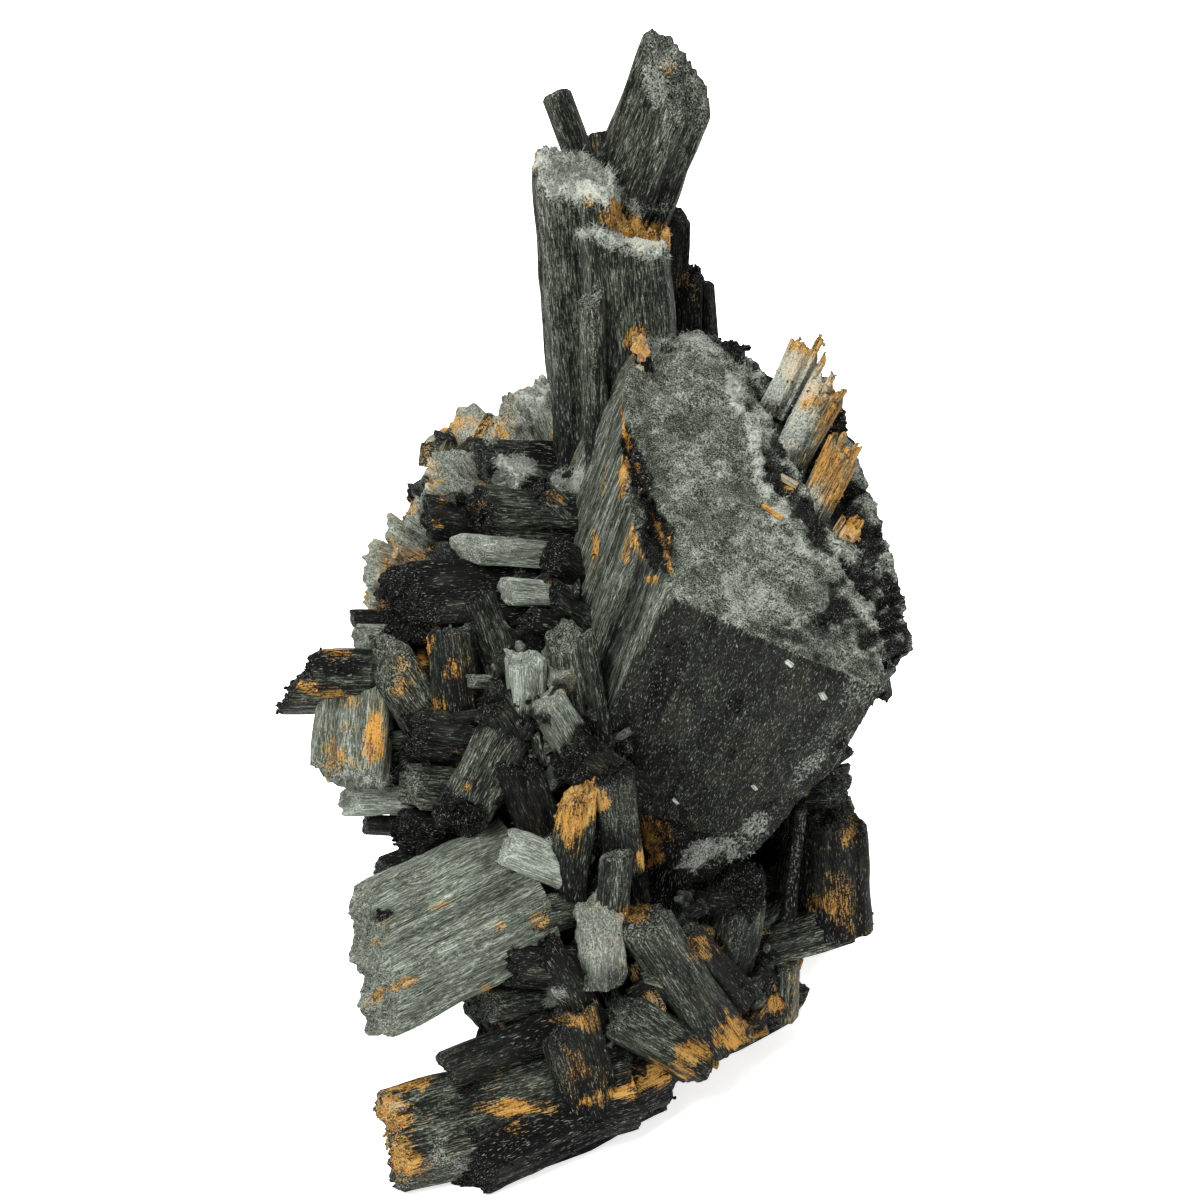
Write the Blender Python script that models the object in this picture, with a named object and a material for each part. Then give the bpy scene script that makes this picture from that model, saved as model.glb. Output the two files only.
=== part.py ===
"""Amphibole cluster: fibrous prisms of many sizes grown together out of one dark matrix.

The specimen stands on the flat cut under it. Lengths in the tables are millimetres; the model is in metres, +Z up,
with its origin on the surface it stands on, below the middle of its foot.
"""

import math
import random
from collections import namedtuple

import bmesh
import bpy
from mathutils import Matrix, Vector, noise

MM = 0.001

# The side that shows best is described as an eye in front of it sees it, looking down at it a little.
EYE_TILT = math.radians(30.0)
EYE_DISTANCE = 430.0
EYE_AIM = Vector((0.0, 36.0, 48.0))
AIM_RISE = 59.7
SIGHT = Vector((0.0, math.cos(EYE_TILT), -math.sin(EYE_TILT)))
SIGHT_UP = Vector((0.0, math.sin(EYE_TILT), math.cos(EYE_TILT)))

# The origin lies below the middle of the foot, this far right of and behind the front one.
FOOT_MIDDLE = Vector((-0.997, 34.849, 0.0))

ROUGHNESS = 0.85
DARK_GREEN = (0.035, 0.043, 0.036, 1.0)

END_CHAMFER = 0.35
END_SHRINK = 0.93
END_LEAN = 0.5
SECTION_WOBBLE = 0.12

Crystal = namedtuple(
    "Crystal", "tip root width thick roll flat slant lean", defaults=(0.0, 0.6, 0.0, None)
)
# tip and root: millimetres right of the middle, up from the foot and behind the aimed-at plane, as the eye sees them.
# width is across the line of sight and thick along it, before roll (degrees) turns them about the crystal's length.
# flat is the share of the width that the front face takes, slant the end's slope in degrees, up to the right, and
# lean the end's rise toward the front; a broken end, the usual one, has its lean by chance.

COLUMN = [
    Crystal((-2.7, 102.6, -8.0), (-0.2, 68.0, 5.5), 7.9, 7.5, 4, 0.8, -14, -0.3),
    Crystal((2.2, 95.4, -9.5), (4.4, 68.0, 3.0), 9.8, 7.5, 4, 0.74, -12, -0.3),
    Crystal((0.4, 99.2, -7.0), (2.0, 68.0, 6.0), 6.6, 5.0, -8, 0.7, -30),
    Crystal((4.3, 98.2, -4.5), (5.0, 68.0, 8.0), 6.0, 6.0, -10, 0.6, -30),
    Crystal((-1.0, 90.2, -11.6), (0.0, 71.0, -3.5), 2.6, 2.4, 20, 0.6, 30),
    Crystal((-4.0, 110.0, -5.5), (-1.2, 102.0, -3.0), 2.8, 2.4, 20, 0.5, 10),
    Crystal((-0.1, 106.2, -3.0), (0.4, 99.0, -3.0), 2.6, 2.2),
    Crystal((8.1, 112.3, -8.5), (2.9, 98.0, -1.0), 9.8, 6.4, -22, 0.62, -38, -0.2),
    Crystal((7.4, 98.8, 2.0), (6.8, 84.0, 9.0), 3.0, 5.0, 25, 0.5, -20),
    Crystal((8.6, 92.6, 5.0), (8.2, 82.0, 10.0), 3.8, 5.0, 10, 0.6, -12),
    Crystal((9.9, 91.8, 6.0), (10.6, 82.0, 10.0), 1.8, 4.0, 30, 0.5, -25),
    Crystal((12.9, 85.2, 4.0), (13.6, 77.0, 8.0), 3.6, 4.0, 10, 0.6, -20),
]

SPLINTERS = [
    Crystal((21.4, 85.8, -7.0), (17.4, 78.0, -6.0), 3.8, 2.4, 25, 0.5, -25),
    Crystal((23.6, 82.0, -10.0), (18.8, 74.0, -9.0), 3.4, 2.4, 30, 0.5, -20),
    Crystal((24.8, 76.0, -13.0), (20.5, 67.5, -11.5), 3.3, 2.4, 20, 0.5, -15),
    Crystal((25.8, 68.4, -11.0), (21.5, 62.0, -11.0), 2.6, 2.4, 30, 0.5, -15),
    Crystal((3.7, 86.8, -10.5), (4.6, 82.4, -9.5), 2.5, 2.2, 20, 0.6, 10),
]

UPPER_LEFT = [
    Crystal((-6.4, 81.4, 4.0), (-2.0, 71.0, 7.0), 4.0, 6.0, 15),
    Crystal((-9.4, 80.0, 5.0), (-4.0, 70.5, 7.0), 4.4, 6.0, -20, 0.7, 15),
    Crystal((-12.2, 78.2, 4.5), (-6.0, 69.0, 8.0), 5.0, 6.0, 25, 0.8, 20),
    Crystal((-13.8, 75.8, 5.0), (-8.0, 68.0, 9.0), 4.4, 6.0, -15, 0.6, 25),
    Crystal((-15.8, 73.2, 5.0), (-9.0, 67.0, 9.0), 4.6, 6.0, 20, 0.7, 20),
    Crystal((-17.1, 70.6, 5.0), (-10.0, 65.0, 9.0), 4.2, 6.0, -25, 0.6, 25),
    Crystal((-18.8, 68.0, 5.5), (-11.0, 63.0, 9.0), 4.6, 6.0, 20, 0.8, 20),
    Crystal((-20.4, 65.6, 6.0), (-12.0, 60.5, 9.0), 4.4, 6.0, 10, 0.6, 25),
    Crystal((-22.6, 63.2, 6.0), (-14.0, 60.5, 8.0), 5.0, 5.0, 0, 0.8, 10),
    Crystal((-22.9, 60.0, 7.0), (-14.0, 59.0, 9.0), 4.0, 5.0, 15),
    Crystal((-13.0, 75.0, 0.5), (-5.0, 74.0, 4.0), 5.2, 5.0, 20, 0.8, 25),
    Crystal((-9.6, 72.2, -1.0), (-3.0, 70.4, 3.0), 3.4, 4.5, -15, 0.8, 15),
    Crystal((-12.2, 67.9, -2.5), (-2.0, 67.4, 1.0), 6.0, 6.0, 25, 0.65, 10),
    Crystal((-17.6, 68.0, 1.0), (-8.0, 66.0, 5.0), 4.4, 5.0, -20, 0.6, 20),
    Crystal((-13.5, 64.6, -3.5), (-5.0, 64.2, 0.0), 3.2, 4.0, 0, 0.85, 15),
    Crystal((-19.8, 59.2, -3.0), (-7.0, 60.2, 1.0), 8.6, 8.0, 20, 0.75, 8),
    Crystal((-9.5, 60.6, -5.5), (-2.0, 60.0, -1.0), 2.8, 4.0, 0, 0.85, 10),
    Crystal((-5.2, 64.4, -4.0), (1.0, 61.0, 0.0), 4.0, 4.0, 25, 0.6, 15),
    Crystal((-25.2, 57.9, 1.0), (-16.0, 57.9, 4.0), 1.8, 1.8, 15, 0.7, 5),
    Crystal((-24.8, 55.8, 0.0), (-15.0, 55.8, 4.0), 3.4, 4.0, 20, 0.6, 15),
    Crystal((-8.0, 57.4, -7.0), (0.0, 55.6, -2.0), 4.0, 4.0, 25, 0.6, -20),
    Crystal((-4.6, 60.2, -7.0), (1.0, 56.6, -2.0), 3.4, 4.0, -25, 0.6, 20),
    Crystal((-16.4, 64.2, -1.0), (-8.0, 62.0, 2.0), 3.4, 4.0, 30, 0.7, 20),
    Crystal((-7.0, 70.8, -2.0), (-1.0, 66.0, 2.0), 3.8, 4.0, 30, 0.6, 15),
]

LEFT_MIDDLE = [
    Crystal((-30.8, 51.6, -4.0), (-17.0, 51.8, 1.0), 6.4, 6.0, 28, 0.6, -22),
    Crystal((-25.0, 41.6, -4.5), (-24.4, 50.5, -1.5), 8.4, 6.5, 0, 0.85, -6),
    Crystal((-25.8, 39.6, -3.0), (-15.0, 39.7, 0.0), 2.7, 3.4, 10, 0.8, 5),
    Crystal((-24.4, 37.5, -0.5), (-15.0, 37.0, 1.0), 2.2, 3.0, 30, 0.5, 5),
    Crystal((-21.6, 54.0, -6.5), (-15.6, 45.0, -2.0), 5.6, 5.0, 35, 0.5, 30),
    Crystal((-15.2, 56.6, -7.0), (-13.8, 45.0, -3.0), 5.0, 5.0, -20, 0.6, 20),
    Crystal((-19.2, 46.2, -6.5), (-9.0, 45.0, -3.0), 5.2, 5.5, 30, 0.7, 15),
    Crystal((-19.4, 41.2, -6.0), (-11.0, 40.6, -3.0), 4.4, 5.0, 20, 0.6, 10),
    Crystal((-14.2, 37.8, -9.0), (-8.2, 49.6, -5.0), 5.6, 5.4, -25, 0.6, -20),
    Crystal((-7.6, 54.2, -9.0), (-7.2, 44.5, -4.0), 4.2, 3.8, 10, 0.8, -8),
    Crystal((-3.8, 56.3, -9.5), (-2.0, 45.5, -4.0), 4.4, 4.0, 25, 0.6, 15),
    Crystal((-1.5, 56.4, -12.0), (0.6, 44.0, -7.0), 2.4, 2.8, 20, 0.5, 20),
    Crystal((-5.4, 49.8, -11.0), (-1.8, 43.6, -7.0), 3.8, 3.0, 10, 0.85, 15),
    Crystal((-9.8, 34.8, -10.5), (-3.0, 32.0, -6.0), 4.6, 4.0, 10, 0.85, -15),
    Crystal((-1.8, 40.8, -12.0), (-3.2, 30.0, -6.0), 4.4, 3.8, 20, 0.6, 25),
    Crystal((1.7, 34.6, -10.5), (1.0, 26.5, -5.0), 3.2, 3.0, 10, 0.7, 8),
    Crystal((-7.2, 28.0, -9.0), (0.0, 29.4, -4.0), 3.6, 4.0, 30, 0.5, 20),
    Crystal((-22.6, 32.6, -2.0), (-13.0, 35.6, 1.0), 2.8, 4.0, 25, 0.6, 10),
    Crystal((-19.4, 36.4, -4.0), (-11.0, 37.0, 0.0), 4.6, 5.0, 20, 0.6, 10),
    Crystal((-3.6, 44.2, -11.0), (3.0, 40.0, -6.0), 5.2, 5.0, 35, 0.5, 15),
    Crystal((-8.6, 43.4, -9.5), (-5.0, 33.5, -4.0), 5.2, 5.0, 25, 0.6, -20),
    Crystal((1.0, 42.4, -12.0), (2.2, 33.0, -6.0), 3.8, 4.0, 30, 0.6, 10),
    Crystal((-13.0, 32.2, -7.0), (-6.0, 28.0, -3.0), 4.2, 5.0, 30, 0.6, 15),
    Crystal((-10.8, 50.2, -8.0), (-6.0, 42.0, -4.0), 4.4, 4.0, 30, 0.6, 25),
    Crystal((-12.4, 60.0, -4.5), (-9.0, 50.0, -3.0), 4.0, 4.0, -25, 0.6, 20),
]

LOWER_LEFT = [
    Crystal((-22.9, 22.9, -8.5), (-7.0, 30.8, -4.0), 14.8, 11.0, -20, 0.7, -16, 0.0),
    Crystal((-11.8, 18.9, -6.0), (-2.0, 20.4, -1.0), 3.4, 3.6, 20, 0.6, 5),
    Crystal((-9.8, 23.4, -8.0), (0.0, 22.6, -4.0), 4.6, 5.0, 30, 0.6, 15),
    Crystal((-15.5, 12.6, -8.0), (-5.0, 16.8, -4.0), 4.0, 3.5, 25, 0.6, 5),
    Crystal((-3.4, 18.4, -5.5), (-1.0, 9.4, -1.0), 7.6, 6.0, 30, 0.55, 12),
    Crystal((1.0, 18.8, -4.0), (9.4, 13.8, 3.0), 5.2, 5.6, 20, 0.6, -15),
    Crystal((0.2, 29.4, -8.5), (0.0, 18.6, -4.0), 5.2, 5.0, 40, 0.5, 15),
    Crystal((-5.8, 25.4, -8.5), (-1.0, 17.6, -4.0), 4.2, 4.0, 30, 0.5, 20),
]

RIGHT_LOWER = [
    Crystal((24.4, 45.6, 3.0), (18.0, 41.0, 8.0), 2.8, 4.0, 20, 0.6, 15),
    Crystal((24.4, 41.2, 4.0), (16.0, 40.6, 9.0), 4.2, 5.0, 20, 0.6, -8),
    Crystal((23.3, 39.0, 7.0), (23.7, 27.4, 12.0), 6.6, 8.0, 15, 0.75, -20),
    Crystal((19.6, 39.6, 3.5), (18.6, 29.0, 9.0), 1.9, 6.0, 10, 0.6, 10),
    Crystal((25.0, 27.4, 11.0), (10.0, 23.2, 8.0), 4.8, 5.0, 30, 0.6, -20),
    Crystal((16.4, 22.4, 9.0), (7.0, 18.0, 7.0), 4.6, 5.0, 25, 0.6, -30),
    Crystal((4.1, 28.0, -7.5), (12.4, 15.8, 4.0), 4.8, 4.8, 22, 0.65, -10),
    Crystal((7.6, 26.6, -1.0), (13.0, 20.0, 6.0), 5.0, 6.0, 30, 0.5, 20),
    Crystal((14.0, 31.4, 2.0), (12.0, 23.0, 8.0), 6.4, 6.0, 40, 0.5, 20),
]

FOOT = [
    Crystal((-20.0, 5.6, -5.0), (2.0, 12.0, 2.0), 11.0, 9.0, 18, 0.75, -4, 0.0),
    Crystal((19.2, 19.2, 22.5), (-4.0, 8.6, 4.5), 4.8, 5.0, 15, 0.75, -35, 0.0),
    Crystal((-13.6, 2.6, -5.5), (5.6, 12.2, 3.0), 6.4, 7.0, 30, 0.7, 10),
]

# The great prism: the corners of the end that shows and of its far end, as the eye sees them.
GREAT_END = [
    (3.2, 84.4, -9.6),
    (10.0, 86.7, -4.9),
    (14.4, 83.0, -6.4),
    (17.0, 74.4, -11.0),
    (20.8, 64.0, -16.5),
    (28.4, 56.0, -20.0),
    (27.8, 50.8, -24.0),
    (20.1, 53.9, -24.8),
    (7.4, 59.7, -25.8),
    (2.3, 80.4, -12.8),
]
GREAT_FAR_END = [
    (-9.0, 64.5, 15.0),
    (4.0, 66.0, 20.0),
    (16.0, 46.0, 8.0),
    (15.0, 34.8, 0.0),
    (10.4, 32.2, 5.0),
    (5.6, 31.8, 7.4),
    (3.2, 34.4, 5.4),
    (-2.6, 43.0, -2.2),
]
# The rough ground right of its end lies a little lower.
ROUGH_END = [
    (12.0, 85.4, -2.6),
    (18.1, 82.4, -2.4),
    (24.4, 80.0, -1.6),
    (26.8, 68.9, -9.2),
    (30.3, 57.4, -16.6),
    (30.0, 54.4, -18.6),
    (27.4, 51.2, -22.4),
    (19.0, 58.0, -19.4),
    (15.0, 74.0, -10.0),
]
ROUGH_FAR_END = [
    (4.0, 66.0, 18.0),
    (10.0, 64.0, 20.0),
    (18.0, 46.0, 8.0),
    (15.6, 36.0, 4.0),
    (8.0, 40.0, 0.0),
]
# The long pit that has eaten the edge between its end and its left side, and the way it goes in.
PIT = [
    (1.9, 79.4, -12.0),
    (3.0, 76.4, -14.8),
    (6.9, 67.6, -20.2),
    (7.0, 62.6, -24.0),
    (5.4, 61.4, -22.4),
    (3.7, 66.0, -15.8),
    (2.0, 74.8, -12.0),
]
PIT_WAY_IN = (2.6, -0.6, 3.2)
PIT_TAPER = 0.55

# Lumps of matrix: middle and half sizes along X, Y and Z.
MATRIX = [
    ((2.0, 38.0, 11.0), (18.0, 27.0, 15.0)),
    ((-3.0, 42.0, 33.0), (17.0, 21.0, 19.0)),
    ((-10.0, 51.0, 46.0), (10.0, 12.0, 11.5)),
    ((17.0, 46.0, 39.0), (8.5, 16.0, 19.0)),
    ((3.0, 50.0, 56.0), (8.0, 11.0, 13.0)),
    ((15.0, 46.0, 10.0), (9.0, 15.0, 13.0)),
    ((-14.0, 36.0, 32.0), (8.5, 15.0, 11.0)),
    ((8.5, 27.5, 25.0), (6.5, 6.5, 6.2)),
]
LUMP_HEIGHT = 0.28
LUMP_SIZE = 9.0

# Crystals of the far side: the lump they grow on, how many, the fan they make about it, in degrees from the right
# over the back to the left, and how far they stand out rather than lie along it.
FAR_SIDE = [
    (0, 13, 15.0, 165.0, 0.7),
    (1, 12, 30.0, 165.0, 0.7),
    (2, 8, 60.0, 130.0, 0.6),
    (3, 10, 35.0, 120.0, 0.7),
    (3, 7, -25.0, 25.0, 0.15),
    (4, 5, 50.0, 130.0, 0.5),
    (5, 7, 30.0, 90.0, 0.6),
    (5, 6, -35.0, 20.0, 0.15),
]
FAR_SEED = 11
FAR_LIFT = 0.7
FAR_LENGTH = (7.0, 12.0)
FAR_WIDTH = (4.0, 9.0)
FAR_TURN = 40.0
FAR_SLANT = 25.0
GROUND_SIZE = 0.4


def seen(across, rise, depth):
    """The place, in millimetres, of a point given as the eye sees it."""
    nearness = 1.0 + depth / EYE_DISTANCE
    in_view = Vector((across * nearness, 0.0, 0.0)) + SIGHT_UP * ((rise - AIM_RISE) * nearness)
    return EYE_AIM + in_view + SIGHT * depth


def hull_object(name, points):
    """A closed convex solid around points in millimetres."""
    shape = bmesh.new()
    for point in points:
        shape.verts.new((point - FOOT_MIDDLE) * MM)
    hull = bmesh.ops.convex_hull(shape, input=shape.verts)
    inside = {v for v in hull["geom_interior"] if isinstance(v, bmesh.types.BMVert)}
    bmesh.ops.delete(shape, geom=list(inside), context="VERTS")
    bmesh.ops.recalc_face_normals(shape, faces=shape.faces)
    mesh = bpy.data.meshes.new(name)
    shape.to_mesh(mesh)
    shape.free()
    solid = bpy.data.objects.new(name, mesh)
    return solid


def section(width, thick, flat):
    """The six corners of a flattened prism's section."""
    half, deep = width / 2.0, thick / 2.0
    near = half * flat
    return [(-half, 0.0), (-near, deep), (near, deep), (half, 0.0), (near, -deep), (-near, -deep)]


def crystal_points(crystal, tip, root, toward, chance):
    """Rings of points at the root, just below the tip and at the tip, where the edges are worn."""
    axis = (tip - root).normalized()
    turn = Matrix.Rotation(math.radians(crystal.roll), 3, axis)
    side = turn @ axis.cross(toward).normalized()
    front = side.cross(axis)
    slope = math.tan(math.radians(crystal.slant))
    lean = chance.uniform(-END_LEAN, END_LEAN) if crystal.lean is None else crystal.lean
    points = []
    for right, fore in section(crystal.width, crystal.thick, crystal.flat):
        right *= 1.0 + chance.uniform(-SECTION_WOBBLE, SECTION_WOBBLE)
        fore *= 1.0 + chance.uniform(-SECTION_WOBBLE, SECTION_WOBBLE)
        across = side * right + front * fore
        points.append(root + across)
        rise = right * slope + fore * lean
        points.append(tip + across + axis * (rise - END_CHAMFER))
        points.append(tip + across * END_SHRINK + axis * rise * END_SHRINK)
    return points


def crystal_object(name, crystal, number):
    """One crystal of the side that the eye sees."""
    tip, root = seen(*crystal.tip), seen(*crystal.root)
    chance = random.Random(number)
    return hull_object(name, crystal_points(crystal, tip, root, -SIGHT, chance))


def prism_object(name, near_end, far_end):
    """A prism between two ends whose corners are given as the eye sees them."""
    return hull_object(name, [seen(*corner) for corner in near_end + far_end])


def pit_object(name):
    """The solid that cuts the pit: its outline, from in front of the faces to as deep as it goes."""
    out = [seen(*(a - 0.5 * b for a, b in zip(corner, PIT_WAY_IN))) for corner in PIT]
    deep = [seen(*(a + b for a, b in zip(corner, PIT_WAY_IN))) for corner in PIT]
    middle = sum(deep, Vector()) / len(deep)
    return hull_object(name, out + [middle.lerp(point, PIT_TAPER) for point in deep])


def lump_object(name, middle, half_sizes):
    """A ball of matrix, squashed to its half sizes and made lumpy."""
    shape = bmesh.new()
    bmesh.ops.create_icosphere(shape, subdivisions=2, radius=1.0)
    for vert in shape.verts:
        place = Vector(a * b for a, b in zip(vert.co, half_sizes))
        bump = noise.noise((place + Vector(middle)) / LUMP_SIZE)
        place *= 1.0 + LUMP_HEIGHT * bump
        vert.co = (place + Vector(middle) - FOOT_MIDDLE) * MM
    mesh = bpy.data.meshes.new(name)
    shape.to_mesh(mesh)
    shape.free()
    return bpy.data.objects.new(name, mesh)


def far_side_objects():
    """Crystals that lean out of the matrix behind and beside, where the eye doesn't see them."""
    chance = random.Random(FAR_SEED)
    solids = []
    for lump, count, fan_start, fan_end, standing in FAR_SIDE:
        middle, half = Vector(MATRIX[lump][0]), MATRIX[lump][1]
        for number in range(count):
            turn = math.radians(fan_start + (fan_end - fan_start) * (number + 0.5) / count)
            way = Vector((math.cos(turn), math.sin(turn), chance.uniform(-FAR_LIFT, FAR_LIFT))).normalized()
            reach = 1.0 / math.sqrt(sum((a / b) ** 2 for a, b in zip(way, half)))
            aside = way.cross(Vector((chance.uniform(-1, 1), chance.uniform(-1, 1), 1.0))).normalized()
            length = chance.uniform(*FAR_LENGTH)
            root = middle + way * reach * (0.7 + 0.15 * (1.0 - standing))
            tip = root + (way * standing + aside * chance.uniform(-1.0, 1.0) * (1.2 - standing)) * length
            width = chance.uniform(*FAR_WIDTH)
            roll, slant = chance.uniform(-FAR_TURN, FAR_TURN), chance.uniform(-FAR_SLANT, FAR_SLANT)
            spec = Crystal(tip, root, width, width * 0.8, roll, 0.7, slant)
            points = crystal_points(spec, tip, root, Vector((0.2, -0.3, 1.0)), chance)
            solids.append(hull_object("far_crystal", points))
    return solids


def dark_amphibole():
    """Dark green, dull, as the fibrous faces are on the whole."""
    material = bpy.data.materials.new("fibrous_dark_amphibole")
    material.use_nodes = True
    shader = material.node_tree.nodes["Principled BSDF"]
    shader.inputs["Base Color"].default_value = DARK_GREEN
    shader.inputs["Roughness"].default_value = ROUGHNESS
    shader.inputs["Metallic"].default_value = 0.0
    return material


def join_into_one(solids):
    """The union of the solids: the first takes in the others, which are then removed."""
    body, others = solids[0], solids[1:]
    bpy.context.scene.collection.objects.link(body)
    grown_on = bpy.data.collections.new("grown_on")
    bpy.context.scene.collection.children.link(grown_on)
    for solid in others:
        grown_on.objects.link(solid)
    union = body.modifiers.new("grown_together", "BOOLEAN")
    union.operation = "UNION"
    union.operand_type = "COLLECTION"
    union.collection = grown_on
    union.solver = "EXACT"
    apply_modifier(body, union)
    for solid in others:
        bpy.data.objects.remove(solid)
    bpy.data.collections.remove(grown_on)
    return body


def apply_modifier(solid, modifier):
    """Applies one modifier, as a click on Apply does."""
    bpy.ops.object.select_all(action="DESELECT")
    bpy.context.view_layer.objects.active = solid
    solid.select_set(True)
    bpy.ops.object.modifier_apply(modifier=modifier.name)


def cut_away(body, cutter):
    """Takes the cutter's solid out of the body."""
    cut = body.modifiers.new("cut_away", "BOOLEAN")
    cut.operation = "DIFFERENCE"
    cut.solver = "EXACT"
    cut.object = cutter
    apply_modifier(body, cut)
    bpy.data.objects.remove(cutter)


def ground_object():
    """A block with its top on the surface that the specimen stands on."""
    bpy.ops.mesh.primitive_cube_add(size=GROUND_SIZE, location=(0.0, 0.0, -GROUND_SIZE / 2.0))
    return bpy.context.object


def fill_hollows(body):
    """Keeps the outer skin alone, so that no hollow is left shut in between crystals."""
    shape = bmesh.new()
    shape.from_mesh(body.data)
    left = set(shape.faces)
    skins = []
    while left:
        skin, front = set(), [left.pop()]
        while front:
            face = front.pop()
            skin.add(face)
            for edge in face.edges:
                for other in edge.link_faces:
                    if other in left:
                        left.remove(other)
                        front.append(other)
        skins.append(skin)
    outer = max(skins, key=len)
    inner = [face for skin in skins if skin is not outer for face in skin]
    bmesh.ops.delete(shape, geom=inner, context="FACES")
    loose = [vert for vert in shape.verts if not vert.link_faces]
    bmesh.ops.delete(shape, geom=loose, context="VERTS")
    shape.to_mesh(body.data)
    shape.free()


def build():
    for old in list(bpy.data.objects):
        bpy.data.objects.remove(old)
    solids = [lump_object("matrix_lump", *lump) for lump in MATRIX]
    great_prism = prism_object("great_prism", GREAT_END, GREAT_FAR_END)
    bpy.context.scene.collection.objects.link(great_prism)
    pit = pit_object("pit")
    bpy.context.scene.collection.objects.link(pit)
    cut_away(great_prism, pit)
    bpy.context.scene.collection.objects.unlink(great_prism)
    solids.append(great_prism)
    solids.append(prism_object("rough_prism", ROUGH_END, ROUGH_FAR_END))
    crystals = COLUMN + SPLINTERS + UPPER_LEFT + LEFT_MIDDLE + LOWER_LEFT + RIGHT_LOWER + FOOT
    for number, crystal in enumerate(crystals):
        solids.append(crystal_object("crystal", crystal, number))
    solids += far_side_objects()
    cluster = join_into_one(solids)
    cut_away(cluster, ground_object())
    fill_hollows(cluster)
    cluster.name = "amphibole_cluster"
    cluster.data.materials.clear()
    cluster.data.materials.append(dark_amphibole())


build()
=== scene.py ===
"""Amphibole cluster: the finished look of the specimen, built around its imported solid."""

import math
import random
from collections import namedtuple

import bpy
import numpy as np
from bpy.props import FloatProperty, FloatVectorProperty, IntProperty, PointerProperty
from mathutils import Matrix, Vector
from mathutils.bvhtree import BVHTree


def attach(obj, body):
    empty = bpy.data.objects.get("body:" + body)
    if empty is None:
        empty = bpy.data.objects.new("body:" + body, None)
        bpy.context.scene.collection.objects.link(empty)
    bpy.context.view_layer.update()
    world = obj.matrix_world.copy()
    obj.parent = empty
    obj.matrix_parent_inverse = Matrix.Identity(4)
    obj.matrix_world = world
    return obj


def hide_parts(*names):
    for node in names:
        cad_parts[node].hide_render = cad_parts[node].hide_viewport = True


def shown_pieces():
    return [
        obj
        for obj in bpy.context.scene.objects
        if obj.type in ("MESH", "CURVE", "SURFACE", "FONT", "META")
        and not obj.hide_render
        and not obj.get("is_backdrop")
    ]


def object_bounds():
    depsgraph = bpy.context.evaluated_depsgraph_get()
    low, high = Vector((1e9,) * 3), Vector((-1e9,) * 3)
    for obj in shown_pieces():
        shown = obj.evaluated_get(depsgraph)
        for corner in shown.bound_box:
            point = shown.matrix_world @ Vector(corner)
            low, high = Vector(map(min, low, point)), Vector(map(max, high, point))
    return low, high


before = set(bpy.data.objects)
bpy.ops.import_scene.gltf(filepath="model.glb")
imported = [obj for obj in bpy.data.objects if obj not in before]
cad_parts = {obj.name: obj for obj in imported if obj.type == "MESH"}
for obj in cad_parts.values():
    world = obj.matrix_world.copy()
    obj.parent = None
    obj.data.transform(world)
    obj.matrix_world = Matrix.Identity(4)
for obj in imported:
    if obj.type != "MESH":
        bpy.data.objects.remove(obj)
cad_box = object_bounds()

bl_info = {
    "name": "Amphibole cluster",
    "version": (1, 0, 0),
    "blender": (4, 5, 0),
    "location": "3D View > Sidebar > Amphibole",
    "description": "Builds a specimen of fibrous amphibole crystals grown together",
    "category": "Add Mesh",
}

MM = 0.001
NODE = "amphibole_cluster"

# The side that shows best is described as an eye in front of it sees it, looking down at it a little.
EYE_TILT = math.radians(30.0)
EYE_DISTANCE = 430.0
EYE_AIM = Vector((0.0, 36.0, 48.0))
AIM_RISE = 59.7
VIEW_WIDTH = 120.0
SIGHT = Vector((0.0, math.cos(EYE_TILT), -math.sin(EYE_TILT)))
SIGHT_UP = Vector((0.0, math.sin(EYE_TILT), math.cos(EYE_TILT)))
FOOT_MIDDLE = Vector((-0.997, 34.849, 0.0))

# How far an end may lean that has no lean of its own, how uneven a section is, and how much ends and edges
# are worn: in millimetres, and more for each millimetre that the crystal is thick.
END_LEAN = 0.5
SECTION_WOBBLE = 0.12
WEAR = 0.12
WEAR_PER_MM = 0.05
# A crystal this thick in millimetres has the full relief; a splinter's end is more ragged than the others.
FULL_RELIEF = 5.0
SPLINTER_RAGGED = 2.2

Crystal = namedtuple(
    "Crystal", "tip root width thick look roll flat slant lean", defaults=(0.0, 0.6, 0.0, None))
# tip and root: millimetres right of the middle, up from the foot and behind the aimed-at plane, as the eye
# sees them. look, letter by letter: d dark, k rather dark, m middling, p pale, b bleached, c weathered, lumpy
# and cream, f frosted end, g gritty, o ochre end, r rusty, s a splinter, pale below and ochre at its end.
# roll turns the section and slant tilts the end sideways, in degrees; lean tilts it towards the eye, as a
# slope; flat is the share of the width that is flat. Each row of the tables below is one crystal.

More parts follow.
